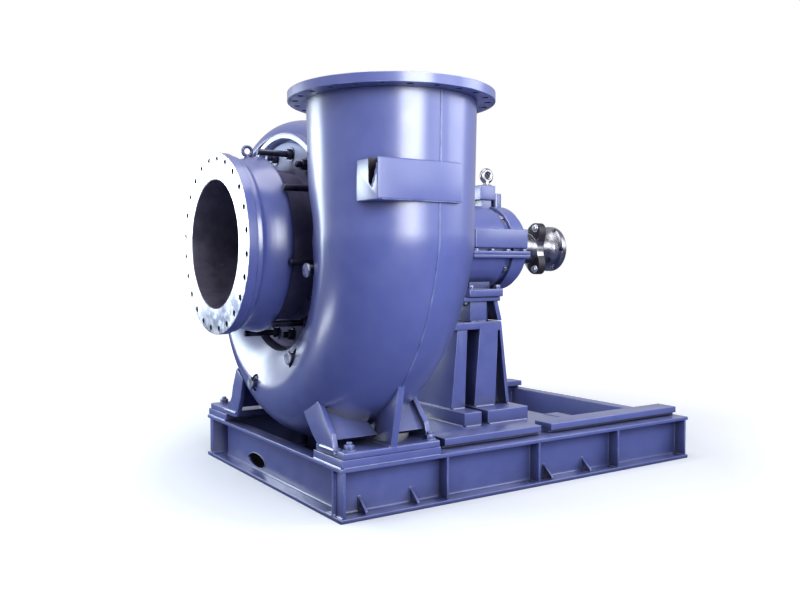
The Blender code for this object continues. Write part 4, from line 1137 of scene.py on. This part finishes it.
lights = {
    # name: place, aimed at, width, height, watts, colour
    "key_wall": ((-1.50, -5.5, 3.05), (-1.0, -0.9, 1.6), 2.4, 2.4, 235, "#F4FAFF"),
    "side_wall": ((3.0, -3.2, 3.0), (-0.8, -0.6, 1.6), 2.6, 2.4, 86, "#F2F8FF"),
    "between": ((1.2, -5.0, 2.9), (-0.9, -0.8, 1.6), 1.4, 2.0, 24, "#F4FAFF"),
    "low_front": ((-0.9, -5.8, 1.45), (-1.3, -0.5, 1.4), 2.2, 0.8, 26, "#F4FAFF"),
    "far_left": ((-3.35, 3.9, 2.0), (-1.3, -0.3, 1.4), 1.5, 1.9, 88, "#E6F4FF"),
    "far_left_high": ((-4.6, 3.6, 2.3), (-1.3, -1.0, 1.5), 1.0, 1.3, 52, "#E6F4FF"),
    "high_left": ((-4.6, 0.2, 5.0), (-1.5, 0.2, 0.8), 2.4, 2.2, 125, "#F4FAFF"),
    "front_fill": ((-2.2, -7.0, 1.6), (-0.6, -0.6, 0.8), 3.0, 2.0, 70, "#FFFFFF"),
    "left_low": ((-3.5, 0.8, 0.20), (-1.3, 0.0, 0.12), 1.2, 0.25, 10, "#F4FAFF"),
    "overhead": ((-0.4, -0.6, 5.5), (-0.4, -0.3, 1.0), 3.5, 3.5, 110, "#FFFFFF"),
}


# Soft boxes turned to their aims, in a white room that shines fully at the camera only.
def buildLights():
    for name, (place, aim, width, height, power, colour) in lights.items():
        light = bpy.data.lights.new(name, "AREA")
        light.shape = "RECTANGLE"
        light.size, light.size_y, light.energy = width, height, power
        light.color = linear(colour)[:3]
        made = bpy.data.objects.new(name, light)
        bpy.context.scene.collection.objects.link(made)
        made.location = place
        away = np.asarray(place, dtype=float) - np.asarray(aim, dtype=float)
        made.rotation_euler = (math.atan2(math.hypot(away[0], away[1]), away[2]), 0.0, math.atan2(away[0], -away[1]))
        made.visible_camera = False
    world = bpy.data.worlds.new("studio")
    bpy.context.scene.world = world
    world.use_nodes = True
    tree = world.node_tree
    seen = addNode(tree, "LightPath", out="Is Camera Ray")
    shiny = addNode(tree, "LightPath", out="Is Glossy Ray")
    strength = addNode(tree, "MapRange", {"Value": shiny, "To Min": stage["fill"], "To Max": stage["shine"]})
    strength = addNode(tree, "Math", {0: strength, 1: seen}, operation="MAXIMUM")
    hue = addNode(tree, "Mix", {0: seen, 6: linear("#F0F2FF"), 7: linear("#FFFFFF")}, 2, data_type="RGBA")
    tree.links.new(hue, tree.nodes["Background"].inputs["Color"])
    tree.links.new(strength, tree.nodes["Background"].inputs["Strength"])


camera = {"place": (-3.272, -4.476, 1.267), "turn": (math.pi / 2 - 0.039, 0.002, -0.577), "lens": 37.32}


def buildCamera():
    data = bpy.data.cameras.new("photo_camera")
    made = bpy.data.objects.new("photo_camera", data)
    bpy.context.scene.collection.objects.link(made)
    made.location = camera["place"]
    made.rotation_euler = camera["turn"]
    data.lens = camera["lens"]
    data.sensor_width = 36.0
    data.clip_end = 200.0
    bpy.context.scene.camera = made


buildStage()
buildLights()
buildCamera()
bpy.context.scene.view_settings.view_transform = "Standard"
